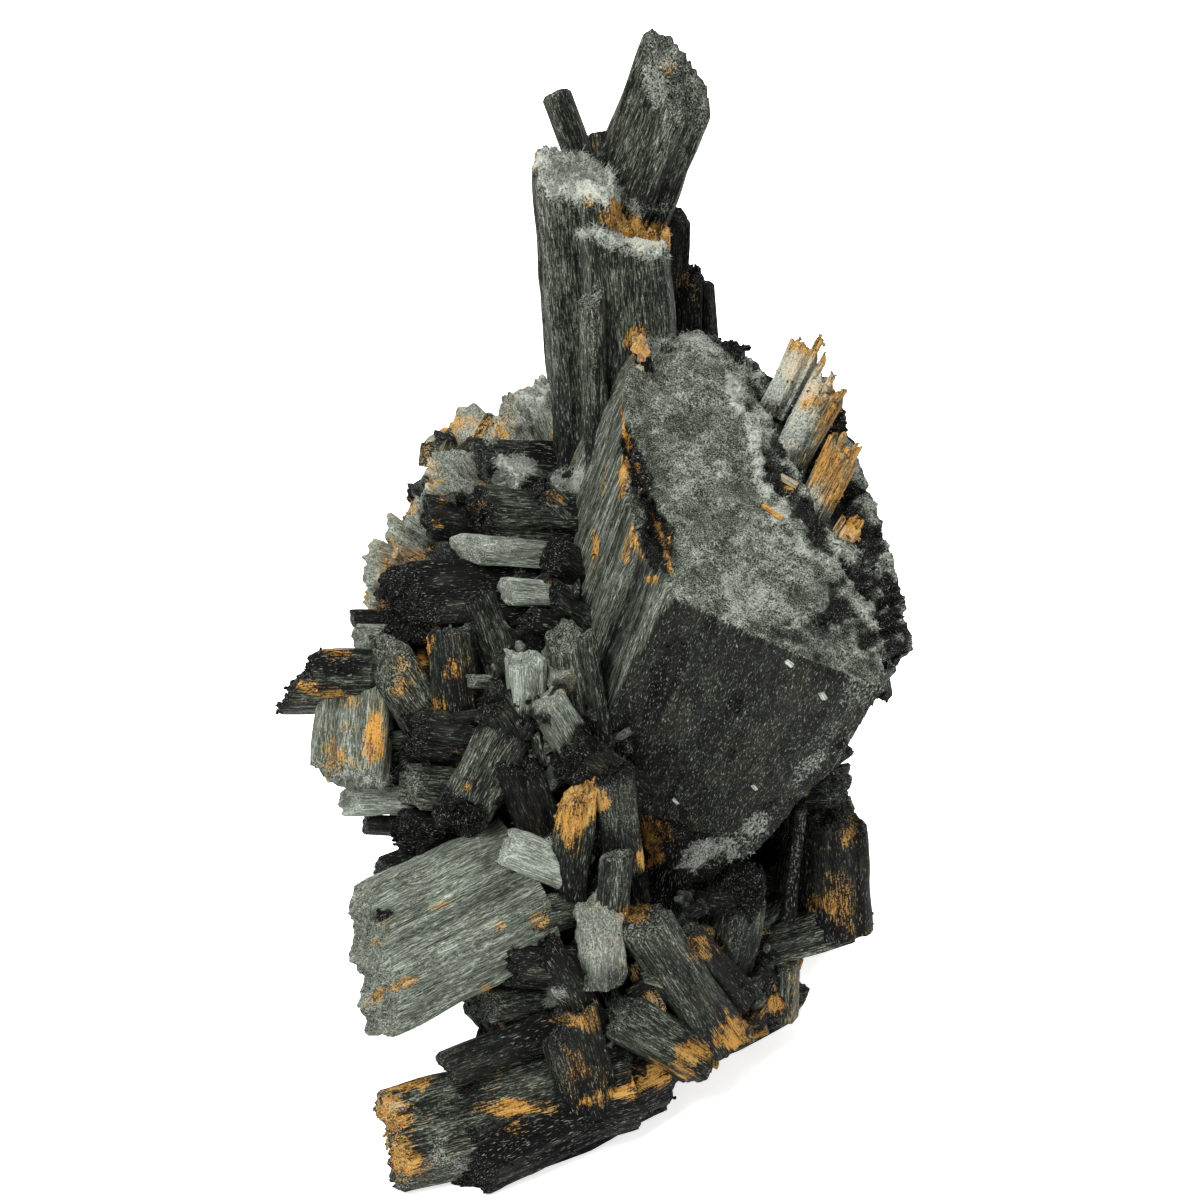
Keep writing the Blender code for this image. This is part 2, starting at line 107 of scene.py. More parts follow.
COLUMN = [
    ((-2.6, 102.6, -8), (0, 68, 5.5), 7.7, 7.5, "fm", 4, 0.8, -14, -0.3),
    ((2.2, 95.7, -9.5), (4.4, 68, 3), 9.8, 7.5, "fk", 4, 0.74, -14, 0.4),
    ((0.4, 99.2, -7), (2, 68, 6), 6.6, 5, "ok", -8, 0.7, -34, 0.1),
    ((4.3, 97.8, -4.5), (5, 68, 8), 6, 6, "ok", -10, 0.6, -20, 0.1),
    ((-1, 90.2, -11), (0, 71, -2.9), 2.6, 2.4, "k", 20, 0.6, 30),
    ((-4.5, 110.4, -5.5), (-1.4, 102, -3), 3.1, 2.6, "k", 20, 0.5, 10),
    ((-0.1, 106.2, -3), (0.4, 99, -3), 2.6, 2.2, "dr"),
    ((7.9, 112.4, -8.5), (2.4, 98, -1), 10.5, 6.4, "m", -22, 0.66, -32, -0.2),
    ((7.4, 98.8, 2), (6.8, 84, 9), 3, 5, "d", 25, 0.5, -20),
    ((8.6, 92.6, 5), (8.2, 82, 10), 3.8, 5, "dg", 10, 0.6, -12),
    ((9.9, 91.8, 6), (10.6, 82, 10), 1.8, 4, "d", 30, 0.5, -25),
    ((12.9, 85.2, 4), (13.6, 77, 8), 3.6, 4, "dg", 10, 0.6, -20),
]

SPLINTERS = [
    ((21.7, 86.4, -7), (17.6, 78, -6), 4.2, 2.6, "s", 25, 0.5, -25),
    ((23.9, 82.5, -10), (18.8, 73.6, -9), 4, 2.6, "s", 30, 0.5, -20),
    ((25.1, 76.2, -13), (20.5, 67.3, -11.5), 3.6, 2.6, "s", 20, 0.5, -15),
    ((25.8, 68.4, -11), (21.5, 62, -11), 2.6, 2.4, "s", 30, 0.5, -15),
    ((3.8, 86.5, -10.5), (4.5, 82.4, -9.5), 1.9, 1.7, "o", 20, 0.6, 10),
]

UPPER_LEFT = [
    ((-6.4, 81.2, 4), (-2, 71, 7), 4.4, 6, "cf", 15),
    ((-9, 79.3, 5), (-4, 70.5, 7), 4.6, 6, "c", -20, 0.7, 15),
    ((-11, 76.8, 4.5), (-6, 69, 8), 4.6, 6, "c", 25, 0.8, 12),
    ((-12.6, 74.6, 5), (-8, 68, 9), 4.4, 6, "cr", -15, 0.6, 15),
    ((-15.2, 72.4, 5), (-9, 67, 9), 4.6, 6, "c", 20, 0.7, 15),
    ((-17.1, 70.6, 5), (-10, 65, 9), 4.2, 6, "cr", -25, 0.6, 25),
    ((-19.3, 68.2, 5.5), (-11, 63, 9), 4.6, 6, "c", 20, 0.8, 20),
    ((-21.2, 65.8, 6), (-12, 60.5, 9), 4.4, 6, "c", 10, 0.6, 25),
    ((-23.1, 63.2, 6), (-14, 60.5, 8), 5, 5, "c", 0, 0.8, 10),
    ((-23.3, 60.2, 7), (-14, 59, 9), 4, 5, "c", 15),
    ((-12.4, 73.7, 0.5), (-5, 73.2, 4), 4.2, 4.6, "d", 20, 0.8, 12),
    ((-9.6, 72.2, -1), (-3, 70.4, 3), 3.4, 4.5, "f", -15, 0.8, 15),
    ((-12.2, 67.9, -2.5), (-2, 67.4, 1), 6, 6, "g", 25, 0.65, 10),
    ((-17.6, 68, 1), (-8, 66, 5), 4.4, 5, "d", -20, 0.6, 20),
    ((-13.5, 64.6, -3.5), (-5, 64.2, 0), 3.2, 4, "b", 0, 0.85, 15),
    ((-19.8, 59.2, -3), (-7, 60.2, 1), 8.6, 8, "dg", 20, 0.75, 8),
    ((-9.5, 60.6, -5.5), (-2, 60, -1), 2.8, 4, "b", 0, 0.85, 10),
    ((-5.2, 64.4, -4), (1, 61, 0), 4, 4, "dg", 25, 0.6, 15),
    ((-24.7, 57.9, 1), (-16, 57.9, 4), 1.8, 1.8, "dr", 15, 0.7, 5),
    ((-24.2, 55.8, 0), (-15, 55.8, 4), 3.4, 4, "p", 20, 0.6, 15),
    ((-8, 57.4, -7), (0, 55.6, -2), 4, 4, "dg", 25, 0.6, -20),
    ((-4.6, 60.2, -7), (1, 56.6, -2), 3.4, 4, "g", -25, 0.6, 20),
    ((-16.4, 64.2, -1), (-8, 62, 2), 3.4, 4, "dr", 30, 0.7, 20),
    ((-7, 70.8, -2), (-1, 66, 2), 3.8, 4, "g", 30, 0.6, 15),
]

LEFT_MIDDLE = [
    ((-30.2, 51.6, -4), (-17, 51.8, 1), 6.6, 6, "gr", 28, 0.6, -36),
    ((-24.6, 41.4, -4.5), (-24, 50.5, -1.5), 8.2, 6.5, "pr", 0, 0.85, -6),
    ((-25.3, 39.6, -3), (-15, 39.7, 0), 2.7, 3.4, "b", 10, 0.8, 5),
    ((-23.6, 37.5, -0.5), (-15, 37, 1), 2.2, 3, "d", 30, 0.5, 5),
    ((-21.6, 54, -6.5), (-15.6, 45, -2), 5.6, 5, "r", 35, 0.5, 30),
    ((-15.2, 56.6, -7), (-13.8, 45, -3), 5, 5, "dr", -20, 0.6, 20),
    ((-19.2, 46.2, -6.5), (-9, 45, -3), 5.2, 5.5, "dg", 30, 0.7, 15),
    ((-19.4, 41.2, -6), (-11, 40.6, -3), 4.4, 5, "m", 20, 0.6, 10),
    ((-14.2, 37.8, -9), (-8.2, 49.6, -5), 5.6, 5.4, "mg", -25, 0.6, -20),
    ((-7.6, 54.2, -9), (-7.2, 44.5, -4), 4.2, 3.8, "b", 10, 0.8, -8),
    ((-3.8, 56.3, -9.5), (-2, 45.5, -4), 4.4, 4, "m", 25, 0.6, 15),
    ((-1.5, 56.4, -12), (0.6, 44, -7), 2.4, 2.8, "m", 20, 0.5, 20),
    ((-5.4, 49.8, -11), (-1.8, 43.6, -7), 3.8, 3, "p", 10, 0.85, 15),
    ((-9.6, 35, -10.5), (-3, 32.4, -6), 3.8, 4, "b", 10, 0.85, -15),
    ((-1.8, 40.8, -12), (-3.2, 30, -6), 4.4, 3.8, "o", 20, 0.6, 25),
    ((1.7, 34.6, -10.5), (1, 26.5, -5), 3.2, 3, "m", 10, 0.7, 8),
    ((-7.2, 28, -9), (0, 29.4, -4), 3.6, 4, "r", 30, 0.5, 20),
    ((-21.9, 32.4, -2), (-13, 35.6, 1), 2.8, 4, "d", 25, 0.6, 10),
    ((-19.4, 36.4, -4), (-11, 37, 0), 4.6, 5, "dg", 20, 0.6, 10),
    ((-3.6, 44.2, -11), (3, 40, -6), 5.2, 5, "g", 35, 0.5, 15),
    ((-8.6, 43.4, -9.5), (-5, 33.5, -4), 5.2, 5, "dg", 25, 0.6, -20),
    ((1, 42.4, -12), (2.2, 33, -6), 3.8, 4, "g", 30, 0.6, 10),
    ((-13, 32.2, -7), (-6, 28, -3), 4.2, 5, "dg", 30, 0.6, 15),
    ((-10.8, 50.2, -8), (-6, 42, -4), 4.4, 4, "g", 30, 0.6, 25),
    ((-12.4, 60, -4.5), (-9, 50, -3), 4, 4, "g", -25, 0.6, 20),
]

LOWER_LEFT = [
    ((-23.2, 22.5, -8.5), (-7, 30.6, -4), 15.4, 11, "p", -20, 0.7, -16, 0),
    ((-11.8, 18.9, -6), (-2, 20.4, -1), 3.4, 3.6, "m", 20, 0.6, 5),
    ((-9.8, 23.4, -8), (0, 22.6, -4), 4.6, 5, "dg", 30, 0.6, 15),
    ((-15.5, 12.6, -8), (-5, 16.8, -4), 4, 3.5, "d", 25, 0.6, 5),
    ((-3.4, 18.4, -5.5), (-1, 9.4, -1), 7.6, 6, "dr", 30, 0.55, 12),
    ((1, 18.8, -4), (9.4, 13.8, 3), 5.2, 5.6, "m", 20, 0.6, -15),
    ((-0.1, 29, -8.5), (0.2, 21.6, -5.5), 4.6, 4.4, "c", 40, 0.5, 15),
    ((-5.8, 25.4, -8.5), (-1, 17.6, -4), 4.2, 4, "dg", 30, 0.5, 20),
]

RIGHT_LOWER = [
    ((24.4, 45.6, 3), (18, 41, 8), 2.8, 4, "d", 20, 0.6, 15),
    ((24.4, 41.2, 4), (16, 40.6, 9), 4.2, 5, "d", 20, 0.6, -8),
    ((23.3, 39, 7), (23.7, 27.4, 12), 6.6, 8, "dr", 15, 0.75, -20),
    ((19.6, 39.6, 3.5), (18.6, 29, 9), 1.9, 6, "d", 10, 0.6, 10),
    ((25, 27.4, 11), (10, 23.2, 8), 4.8, 5, "m", 30, 0.6, -20),
    ((16.4, 22.4, 9), (7, 18, 7), 4.6, 5, "m", 25, 0.6, -30),
    ((4.1, 28, -7.5), (12.4, 15.8, 4), 4.8, 4.8, "m", 22, 0.65, -10),
    ((7.6, 26.6, -1), (13, 20, 6), 5, 6, "d", 30, 0.5, 20),
    ((14, 31.4, 2), (12, 23, 8), 6.4, 6, "g", 40, 0.5, 20),
]

FOOT = [
    ((-21.3, 5.6, -5), (2, 12, 2), 11.4, 9, "r", 18, 0.75, -4, 0),
    ((19.2, 19.2, 22.5), (-4, 8.6, 4.5), 4.8, 5, "m", 15, 0.75, -35, 0),
    ((-13.6, 2.6, -5.5), (5.6, 12.2, 3), 6.4, 7, "dg", 30, 0.7, 10),
]

# Corners of the great prism, of the rough ground and of the pit: across, rise and depth as the eye sees them.
GREAT_END = [
    (3.2, 84.4, -9.6), (10.0, 86.7, -4.9), (14.4, 83.0, -6.4), (17.0, 74.4, -11.0), (20.8, 64.0, -16.5),
    (28.6, 56.0, -20.0), (28.5, 50.7, -24.0), (20.1, 53.9, -24.8), (7.4, 59.7, -25.8), (2.3, 80.4, -12.8),
]

# The great prism is seen nearly along its fibres: their pattern is drawn longer there, as it shows.
GREAT_FIBRE = (1.0, 1.0, 0.4)

GREAT_FAR_END = [
    (-9.0, 64.5, 15.0), (4.0, 66.0, 20.0), (16.0, 46.0, 8.0), (16.0, 34.8, 0.0), (10.4, 32.2, 5.0),
    (5.6, 31.8, 7.4), (3.2, 34.4, 5.4), (-2.6, 43.0, -2.2),
]

ROUGH_END = [
    (12.0, 85.4, -2.6), (18.1, 82.4, -2.4), (24.4, 80.0, -1.6), (26.8, 68.9, -9.2), (31.0, 59.2, -15.4),
    (31.5, 54.6, -18.2), (27.4, 51.2, -22.4), (19.0, 58.0, -19.4), (15.0, 74.0, -10.0),
]

ROUGH_FAR_END = [
    (4.0, 66.0, 18.0), (10.0, 64.0, 20.0), (18.0, 46.0, 8.0), (15.6, 36.0, 4.0), (8.0, 40.0, 0.0),
]

PIT = [
    (1.9, 79.4, -12.0), (3.0, 76.4, -14.8), (6.9, 67.6, -20.2), (7.0, 62.6, -24.0), (5.4, 61.4, -22.4),
    (3.7, 66.0, -15.8), (2.0, 74.8, -12.0),
]

# Lumps of matrix: the middle and the half sizes of each, in millimetres.
MATRIX = [
    ((2.0, 38.0, 11.0), (18.0, 27.0, 15.0)), ((-3.0, 42.0, 33.0), (17.0, 21.0, 19.0)),
    ((-10.0, 51.0, 46.0), (10.0, 12.0, 11.5)), ((17.0, 46.0, 39.0), (8.5, 16.0, 19.0)),
    ((3.0, 50.0, 56.0), (8.0, 11.0, 13.0)), ((15.0, 46.0, 10.0), (9.0, 15.0, 13.0)),
    ((-14.0, 36.0, 32.0), (8.5, 15.0, 11.0)), ((8.5, 27.5, 25.0), (6.5, 6.5, 6.2)),
]

# Crystals of the far side: the lump that they grow from, how many, where their fan starts and ends in
# degrees, and how straight they stand out of it.
FAR_SIDE = [
    (0, 13, 15.0, 165.0, 0.7), (1, 12, 30.0, 165.0, 0.7), (2, 8, 60.0, 130.0, 0.6),
    (3, 10, 35.0, 120.0, 0.7), (3, 7, -25.0, 25.0, 0.15), (4, 5, 50.0, 130.0, 0.5), (5, 7, 30.0, 90.0, 0.6),
    (5, 6, -35.0, 20.0, 0.15),
]

# Ochre stain, pale felt and black grit: ellipses as the eye sees them, each with its middle across and up,
# its half sizes, its turn in degrees and its strength.
RUST_PATCHES = [
    (2.5, 76.8, 0.3, 2.8, 14, 1), (4.3, 71.2, 0.3, 2.9, 20, 1), (5.8, 66.9, 0.3, 2.3, 26, 1),
    (6.9, 63.6, 0.35, 1.8, 5, 1), (5.2, 61.8, 1.5, 0.4, 0, 1), (3.5, 65.6, 0.3, 2.4, 10, 0.8),
    (2.4, 71.7, 0.6, 2.6, -5, 1), (-0.9, 100.3, 1.7, 1.2, -42, 1), (1.1, 98.5, 2.2, 1.4, -48, 1),
    (3.2, 96.6, 2, 1.4, -38, 1), (5.4, 96.2, 1.5, 1.3, 25, 1), (-6.1, 103.6, 0.8, 0.9, 0, 1),
    (6.7, 113, 1.2, 1.6, 0, 0.55), (3.4, 85.9, 1.4, 1.3, 0, 1), (-0.2, 64.2, 0.5, 2.2, 5, 0.7),
    (0.6, 71.7, 0.4, 1.8, 0, 0.5), (2.7, 64.9, 0.4, 1.8, 0, 0.6), (19, 71.5, 0.9, 0.5, -30, 1),
    (17.3, 68.4, 1.2, 0.4, -35, 0.9), (-16.8, 72.7, 1.3, 1.8, 0, 0.8), (-14.5, 76.5, 1.2, 1, 0, 0.7),
    (-11.3, 77.2, 1, 0.8, 0, 0.5), (-19.2, 68.9, 1, 1.2, 0, 0.7), (-15.5, 69.7, 0.8, 1, 0, 0.6),
    (-16.3, 67.4, 0.8, 0.6, 0, 0.7), (-12.5, 69.2, 1, 0.8, 0, 0.5), (-4.5, 69.7, 1, 0.8, 0, 0.5),
    (-22.2, 58.9, 1.2, 0.8, 0, 0.5), (-28.2, 50.7, 2.8, 0.9, -12, 0.8), (-25.5, 49.7, 2.2, 0.8, -5, 0.6),
    (-26.7, 44.2, 1.6, 1.8, 0, 0.7), (-22.4, 45.9, 1.2, 2.8, 0, 0.85), (-25, 46.9, 1, 0.8, 0, 0.5),
    (-20, 50.9, 1.6, 1, 30, 0.5), (-17.6, 54.2, 0.6, 2.4, -20, 0.9), (-15, 52.5, 1, 1.2, 0, 0.7),
    (-16, 49.2, 1, 0.8, 0, 0.8), (-13.3, 41.1, 0.6, 0.6, 0, 1), (-1.5, 39.7, 2.2, 1.4, 0, 1),
    (-2.5, 36.7, 1.4, 2.4, -15, 1), (5.5, 36.2, 1.8, 1.4, 0, 0.95), (4.8, 33.9, 1.4, 1.6, 0, 0.8),
    (3.6, 28.5, 1.5, 1.2, 0, 0.95), (-6.3, 28.2, 1.2, 1.4, 0, 0.7), (-9.7, 27.2, 0.5, 0.8, 0, 0.8),
    (-20, 21.2, 2.8, 0.5, 20, 0.8), (-16, 29.2, 2.4, 0.4, 20, 0.5), (-22, 25.7, 2, 0.4, 20, 0.5),
    (-21.6, 27.5, 1.4, 0.25, 25, 0.7), (-22.5, 19.7, 1.2, 0.5, 20, 0.7), (-19.2, 11.4, 2.2, 1.2, 15, 0.95),
    (-20.6, 8.2, 2.2, 3.2, 0, 0.95), (-19.9, 4, 2.2, 2.6, 0, 0.9), (-18, 2.2, 1.4, 1, 0, 0.5),
    (-12.2, 9.1, 1.4, 0.8, 0, 0.8), (-9.5, 8.9, 2, 0.8, 0, 0.9), (-5.5, 9, 2.2, 0.7, 5, 0.85),
    (-1.5, 9.7, 2.2, 0.5, 12, 0.9), (1.7, 10.5, 1.8, 0.6, 25, 0.9), (5, 12.2, 2.2, 1.5, 30, 0.95),
    (9, 14.1, 2.4, 1.6, 25, 0.95), (13, 16.3, 2.4, 1.6, 25, 0.9), (16.8, 18.5, 2.2, 1.2, 30, 0.8),
    (4, 10.7, 1.6, 0.8, 30, 0.7), (10, 14.1, 1.8, 0.6, 20, 0.7), (-2.5, 17.7, 2.2, 0.7, -5, 0.7),
    (-4, 14.7, 1.4, 0.8, 0, 0.4), (-11.4, 21.2, 0.5, 1, 0, 0.8), (25, 36.2, 1.2, 1.4, 0, 0.6),
    (22, 34.7, 1.6, 1.4, 0, 0.5), (24, 31.2, 1.4, 1.8, 0, 0.5), (10.5, 24.7, 2, 1.4, 0, 0.6),
    (20, 23.2, 3.5, 0.5, 15, 0.6), (9, 90.7, 1.2, 1.8, 0, 0.35),
]

FROST_PATCHES = [
    (-2.6, 102.4, 2.4, 1, -10, 0.8), (2.2, 99.9, 2.6, 0.6, -42, 0.8), (-4.5, 103.5, 1.4, 1.2, 0, 0.8),
    (-5.5, 104.9, 1, 0.8, 0, 0.7), (-1.8, 96.4, 1.3, 0.6, -20, 0.8), (0.8, 95.6, 1.8, 0.6, -25, 0.8),
    (4.2, 94.4, 2.6, 0.5, -8, 0.8), (-0.4, 90.7, 0.4, 1.6, 0, 0.4), (-0.6, 85.7, 0.4, 4.4, 0, 0.3),
    (5.5, 111.7, 1.2, 2.6, 10, 0.6), (6.5, 113.6, 1.8, 1.2, 0, 0.6), (6, 99, 1.4, 0.8, 0, 0.6),
    (-3.4, 71.9, 1.6, 1.2, 0, 1), (-8, 73.1, 1.8, 1.2, 0, 0.9), (-7, 78.7, 1.4, 1.8, 0, 0.8),
    (-5.5, 80.7, 0.8, 1, 0, 0.8), (-8.5, 76.7, 1.2, 1.2, 0, 0.6), (-10, 65.2, 1.6, 0.8, 0, 0.7),
    (-11, 75.6, 1, 0.7, 0, 0.6), (10, 77.7, 5, 9, 0, 0.42), (16, 63.7, 5, 6, 0, 0.6),
    (17, 60.7, 4.5, 4.5, 0, 0.5), (8, 85.7, 4, 0.8, 0, 0.7), (13.5, 80.7, 0.8, 2.6, 15, 0.95),
    (15.2, 76.7, 0.7, 3, 5, 0.95), (16.3, 72.2, 1, 2.6, 15, 0.8), (18.2, 68.7, 1.4, 2, 0, 0.6),
    (20.2, 64.9, 1.4, 1.4, 0, 0.5), (5, 84.7, 1, 0.8, 0, 0.8), (16, 82.2, 2, 1, 0, 0.9),
    (19, 79.7, 1.6, 1.6, 0, 0.8), (21, 77.7, 1, 2, 0, 0.6), (18, 75.7, 2, 2, 0, 0.5),
    (20, 69.7, 2, 2, 0, 0.7), (19, 82, 4, 3, 0, 0.9), (19, 76, 3, 3, 0, 0.8), (23, 65.7, 2.5, 3.5, 0, 0.55),
    (20.5, 42.6, 2.6, 0.9, 50, 0.6), (27, 59.7, 2, 3, 0, 0.4), (28, 55.7, 2, 2, 0, 0.6),
    (26, 50.7, 2, 2, 0, 0.5), (23, 45.7, 2, 2, 0, 0.4), (11.5, 34.7, 4.2, 1.6, 15, 0.85),
    (15.5, 37.2, 1.6, 1.4, 30, 0.8), (9, 32.7, 2.2, 0.8, 0, 0.9), (3.6, 39.7, 3, 3, 0, 0.25),
    (8, 39.7, 2, 2, 0, 0.2), (-25.5, 26.7, 0.8, 1.6, 0, 0.8), (-23.5, 19.7, 0.8, 1.2, 0, 0.5),
    (-23.5, 41.5, 3.4, 0.8, 0, 0.8), (-25.5, 39.5, 1, 0.8, 0, 0.7), (-0.2, 25.2, 2.2, 3, 0, 0.4),
    (-4.4, 20.2, 1.6, 1.2, 0, 0.8), (-16, 4.2, 1, 1.6, 0, 0.5), (-20.5, 9.2, 1.2, 0.6, 0, 0.5),
    (-14, 3.2, 1.4, 1, 0, 0.5), (-5.2, 35.2, 0.6, 1, 0, 0.6), (-4.8, 19.6, 1.6, 0.7, 20, 0.9),
    (19.6, 34.7, 0.5, 5, -10, 0.5), (25, 45.7, 1, 0.8, 0, 0.5),
]

GRIT_PATCHES = [
    (4, 79.7, 0.7, 4, 14, 0.45), (5.5, 72.7, 0.8, 5, 14, 0.45), (7.4, 65.2, 0.6, 3, 6, 0.4),
    (10, 58.5, 2.2, 0.7, -28, 0.5), (14.8, 55.9, 2.5, 0.6, -25, 0.5), (5.5, 65.2, 1.2, 2.6, 0, 1),
    (25, 69.7, 1.8, 3, 0, 0.9), (27, 63.7, 1.6, 2.2, 0, 0.8), (23.5, 77.7, 1, 1.6, 0, 0.7),
    (17.5, 74.2, 1.0, 1.0, 0, 0.9), (-21.7, 28.2, 1.3, 0.42, 25, 1), (-6.5, 5.7, 6.2, 2.8, 14, 0.85),
    (-2, 7.5, 5, 2.4, 20, 0.7), (24, 59.7, 2.5, 3, 0, 0.6), (20.5, 59.7, 2, 1.2, -25, 0.5),
    (29, 57.7, 1.5, 2.5, 0, 0.8), (22, 55.7, 3, 2, -25, 0.6), (14.6, 84.6, 1.2, 0.9, -30, 0.8),
    (-27, 53.5, 3.8, 1.2, -10, 0.9), (7.2, 44.8, 0.8, 0.6, 0, 1), (6, 40.7, 5, 3, 0, 0.35),
    (19, 34.7, 2.5, 4, 0, 0.8), (-7, 47.7, 2, 1.2, 0, 0.7), (-1, 45.7, 1.6, 1.4, 0, 0.8),
    (-16, 63.7, 6, 1.2, 0, 0.4),
]
# Only what is less than this far behind the aimed-at plane has patches, fading out from the first depth on.
PATCH_DEPTH = (14.0, 22.0)
PATCH_EDGE = (0.6, 1.35)
PATCH_REACH = 2.4

# Layers of noise that are added up: the strength, size in millimetres and seed of each.
RAGGED_LAYERS = ((0.34, 2.1, 11), (0.3, 0.8, 12), (0.2, 0.4, 13))
RIB_LAYERS = ((1.0, (0.9, 0.9, 16.0), 1), (0.7, (0.4, 0.4, 7.0), 2))
FELT_LAYERS = ((0.4, 3.4, 21), (0.26, 1.1, 22), (0.16, 0.5, 23))
CRUMBLY_LAYERS = ((0.5, 1.3, 24), (0.35, 0.6, 25))
HILL_LAYERS = ((0.7, 2.3, 26), (0.45, 0.9, 27))
MOTTLED_LAYERS = ((0.26, 3.6, 28), (0.26, 1.3, 29), (0.34, 0.55, 30))
LUMP_LAYERS = ((0.65, 2.4, 31), (0.5, 1.0, 32), (0.3, 0.5, 33))
GRAIN_LAYERS = ((0.9, 2.8, 42), (0.6, 1.4, 43), (0.3, 0.8, 44))

# Where the great prism's lower right edge stands out between its ends.
GREAT_BULGE = (22.9, 42.2, -12.0)
# The pit goes in this way, and this much of its mouth is left at the bottom.
PIT_WAY_IN = (2.6, -0.6, 3.2)
PIT_TAPER = 0.55

# Patches too: the pit, where no shards grow, rough ground, and the raised step across the great prism's end.
PIT_PATCHES = [
    (5.6, 65.4, 1.6, 3.4, 12, 1.0), (4.0, 72.0, 0.9, 5.0, 16, 1.0),
]
BARE_PATCHES = [
    (9.0, 38.4, 6.0, 5.0, 0, 1.0), (13.0, 35.6, 4.6, 3.0, 20, 1.0), (2.0, 66.0, 2.6, 8.0, 0, 1.0),
]
ROUGH_PATCHES = [
    (25.4, 60.4, 3.6, 5.4, 0, 1.0), (23.4, 66.4, 2.6, 3.6, 0, 1.0), (28.4, 55.4, 3.4, 3.0, 0, 0.9),
    (20.4, 55.8, 4.6, 1.8, -28, 0.6), (16.4, 79.0, 1.8, 3.6, 10, 0.8), (17.8, 73.4, 1.6, 3.4, 10, 0.9),
    (20.6, 69.4, 1.8, 2.6, 0, 0.9),
]
RIDGE_PATCHES = [
    (13.4, 80.8, 0.8, 2.6, 20, 0.9), (15.2, 76.6, 0.8, 3.0, 8, 0.9), (16.2, 72.2, 0.9, 2.6, 18, 0.7),
    (18.2, 68.6, 1.2, 2.0, 30, 0.7), (20.2, 64.6, 1.2, 1.6, 20, 0.6),
]

# Matrix and far side, as in the solid.
LUMP_HEIGHT = 0.28
LUMP_SIZE = 6.5
FAR_SEED = 11
FAR_LIFT = 0.7
FAR_LENGTH = (7.0, 12.0)
FAR_WIDTH = (4.0, 9.0)
FAR_TURN = 40.0
FAR_SLANT = 25.0
FAR_THICKNESS = 0.8
FAR_FLAT = 0.7
FAR_ROOT = (0.7, 0.15)
FAR_ASIDE = 1.2
FAR_TOWARD = Vector((0.2, -0.3, 1.0))
FAR_LOOKS = ("g", "g", "dg", "m", "p", "r", "dr", "k", "k", "m")
# Each far crystal takes this many random numbers once its place is drawn, so that the next one is where the
# solid has it.
FAR_DRAWS = 13
# Left of this and above it, as the eye sees them, the crystals behind are weathered too.
WEATHERED = (-10.0, 62.0)

# Edges sharper than this many degrees stay sharp: on crystals, on remeshed pieces, on shards and grains.
CRYSTAL_EDGE = 50.0
ROCK_EDGE = 60.0
GRAIN_EDGE = 30.0

# Spacing of the meshes, in millimetres; rows along a crystal grow apart towards its root.
FINE_ACROSS = 0.2
FINE_ALONG = 0.5
COARSE_ACROSS = 0.5
COARSE_ALONG = 1.1
ALONG_GROWTH = 1.05
ALONG_MOST = 1.5
GREAT_VOXEL = 0.36
MATRIX_VOXEL = 0.68

# Thin slivers of one splinter: how many, how far the splinter itself stops short of its tip, the share of its
# width that they stand on, how far in front, how far along and how wide they are for its own size, their turn
# and slant in degrees, their thickness for their width, and how far apart their roots are.
SLIVERS = 11
SLIVER_SHORT = 1.6
SLIVER_ROW = 0.84
SLIVER_ASIDE = (-0.1, 0.5)
SLIVER_REACH = (0.68, 1.0)
SLIVER_WIDTH = (0.12, 0.26)
SLIVER_ROLL = (-30, 30)
SLIVER_SLANT = (-55, 40)
SLIVER_THICKNESS = 0.8
SLIVER_ROOTS = 0.8
SLIVER_SEED = 100

# Fine needles: the pieces that they stand on, the share of all needles, their length in millimetres and how
# upright they are. Fur on crystals, short felt on the great prism.
WHISKER_GROUNDS = (
    (("column", "upper_left", "left_middle", "lower_left", "matrix"), 0.6, (0.4, 1.3), 1.0),
    (("great_prism", "rough_end"), 0.4, (0.25, 0.6), 0.25),
)
WHISKER_WIDTH = (0.06, 0.1)
WHISKER_SPREAD = 0.6
WHISKER_SINK = 0.2
WHISKER_FROST = (0.2, 0.7)
WHISKER_TONE = (0.6, 0.9)
WHISKER_SITE_SEED = 82
WHISKER_SEED = 81

# Crumbs: the piece, the mark that they lie on, the part of the crumb count, the least and largest size in
# millimetres, their own frost, rust, grit and tone, and the seed.
CRUMB_KINDS = (
    ("frost_crumbs", "frost", 1, (0.14, 0.34), (0.65, 0.0, 0.0, 0.8), 71),
    # Black grains lie on the grit mark, so also in the hollows and the pit where shade is painted black.
    ("black_grains", "grit", 1, (0.3, 0.9), (0.0, 0.0, 1.0, 0.1), 72),
    ("ochre_crumbs", "rust", 4, (0.25, 0.6), (0.0, 1.0, 0.0, 0.5), 73),
)
CRUMB_FLATNESS = 0.7

# Shards on the matrix: their least and largest width, how fast wide ones get rare, the length and thickness
# for each width, how deep their root is, which way they point, how far they may stand out of the solid or lie
# inside it, in millimetres, and the marks that they are drawn from.
SHARD_WIDTH = (0.7, 3.2)
SHARD_RARITY = 1.4
SHARD_LENGTH = (1.3, 2.8)
SHARD_THICKNESS = (0.45, 0.9)
SHARD_SINK = 0.45
SHARD_OUTWARD = (0.25, 1.0)
SHARD_SIDEWAYS = 0.9
SHARD_LEAST_OUTWARD = 0.1
SHARD_BARE = 0.3
SHARD_OUTSIDE = 0.8
SHARD_INSIDE = 0.9
SHARD_TRIES = 20
SHARD_RUST = (0.0, 0.0, 0.0, 0.0, 0.0, 0.0, 0.3, 0.6)
SHARD_TONE = (0.05, 0.1, 0.15, 0.2, 0.25, 0.3, 0.4, 0.5, 0.68)
SHARD_FROST = (0.0, 0.05, 0.1, 0.3)
SHARD_GRIT = (0.0, 0.5)
SHARD_SEED = 61
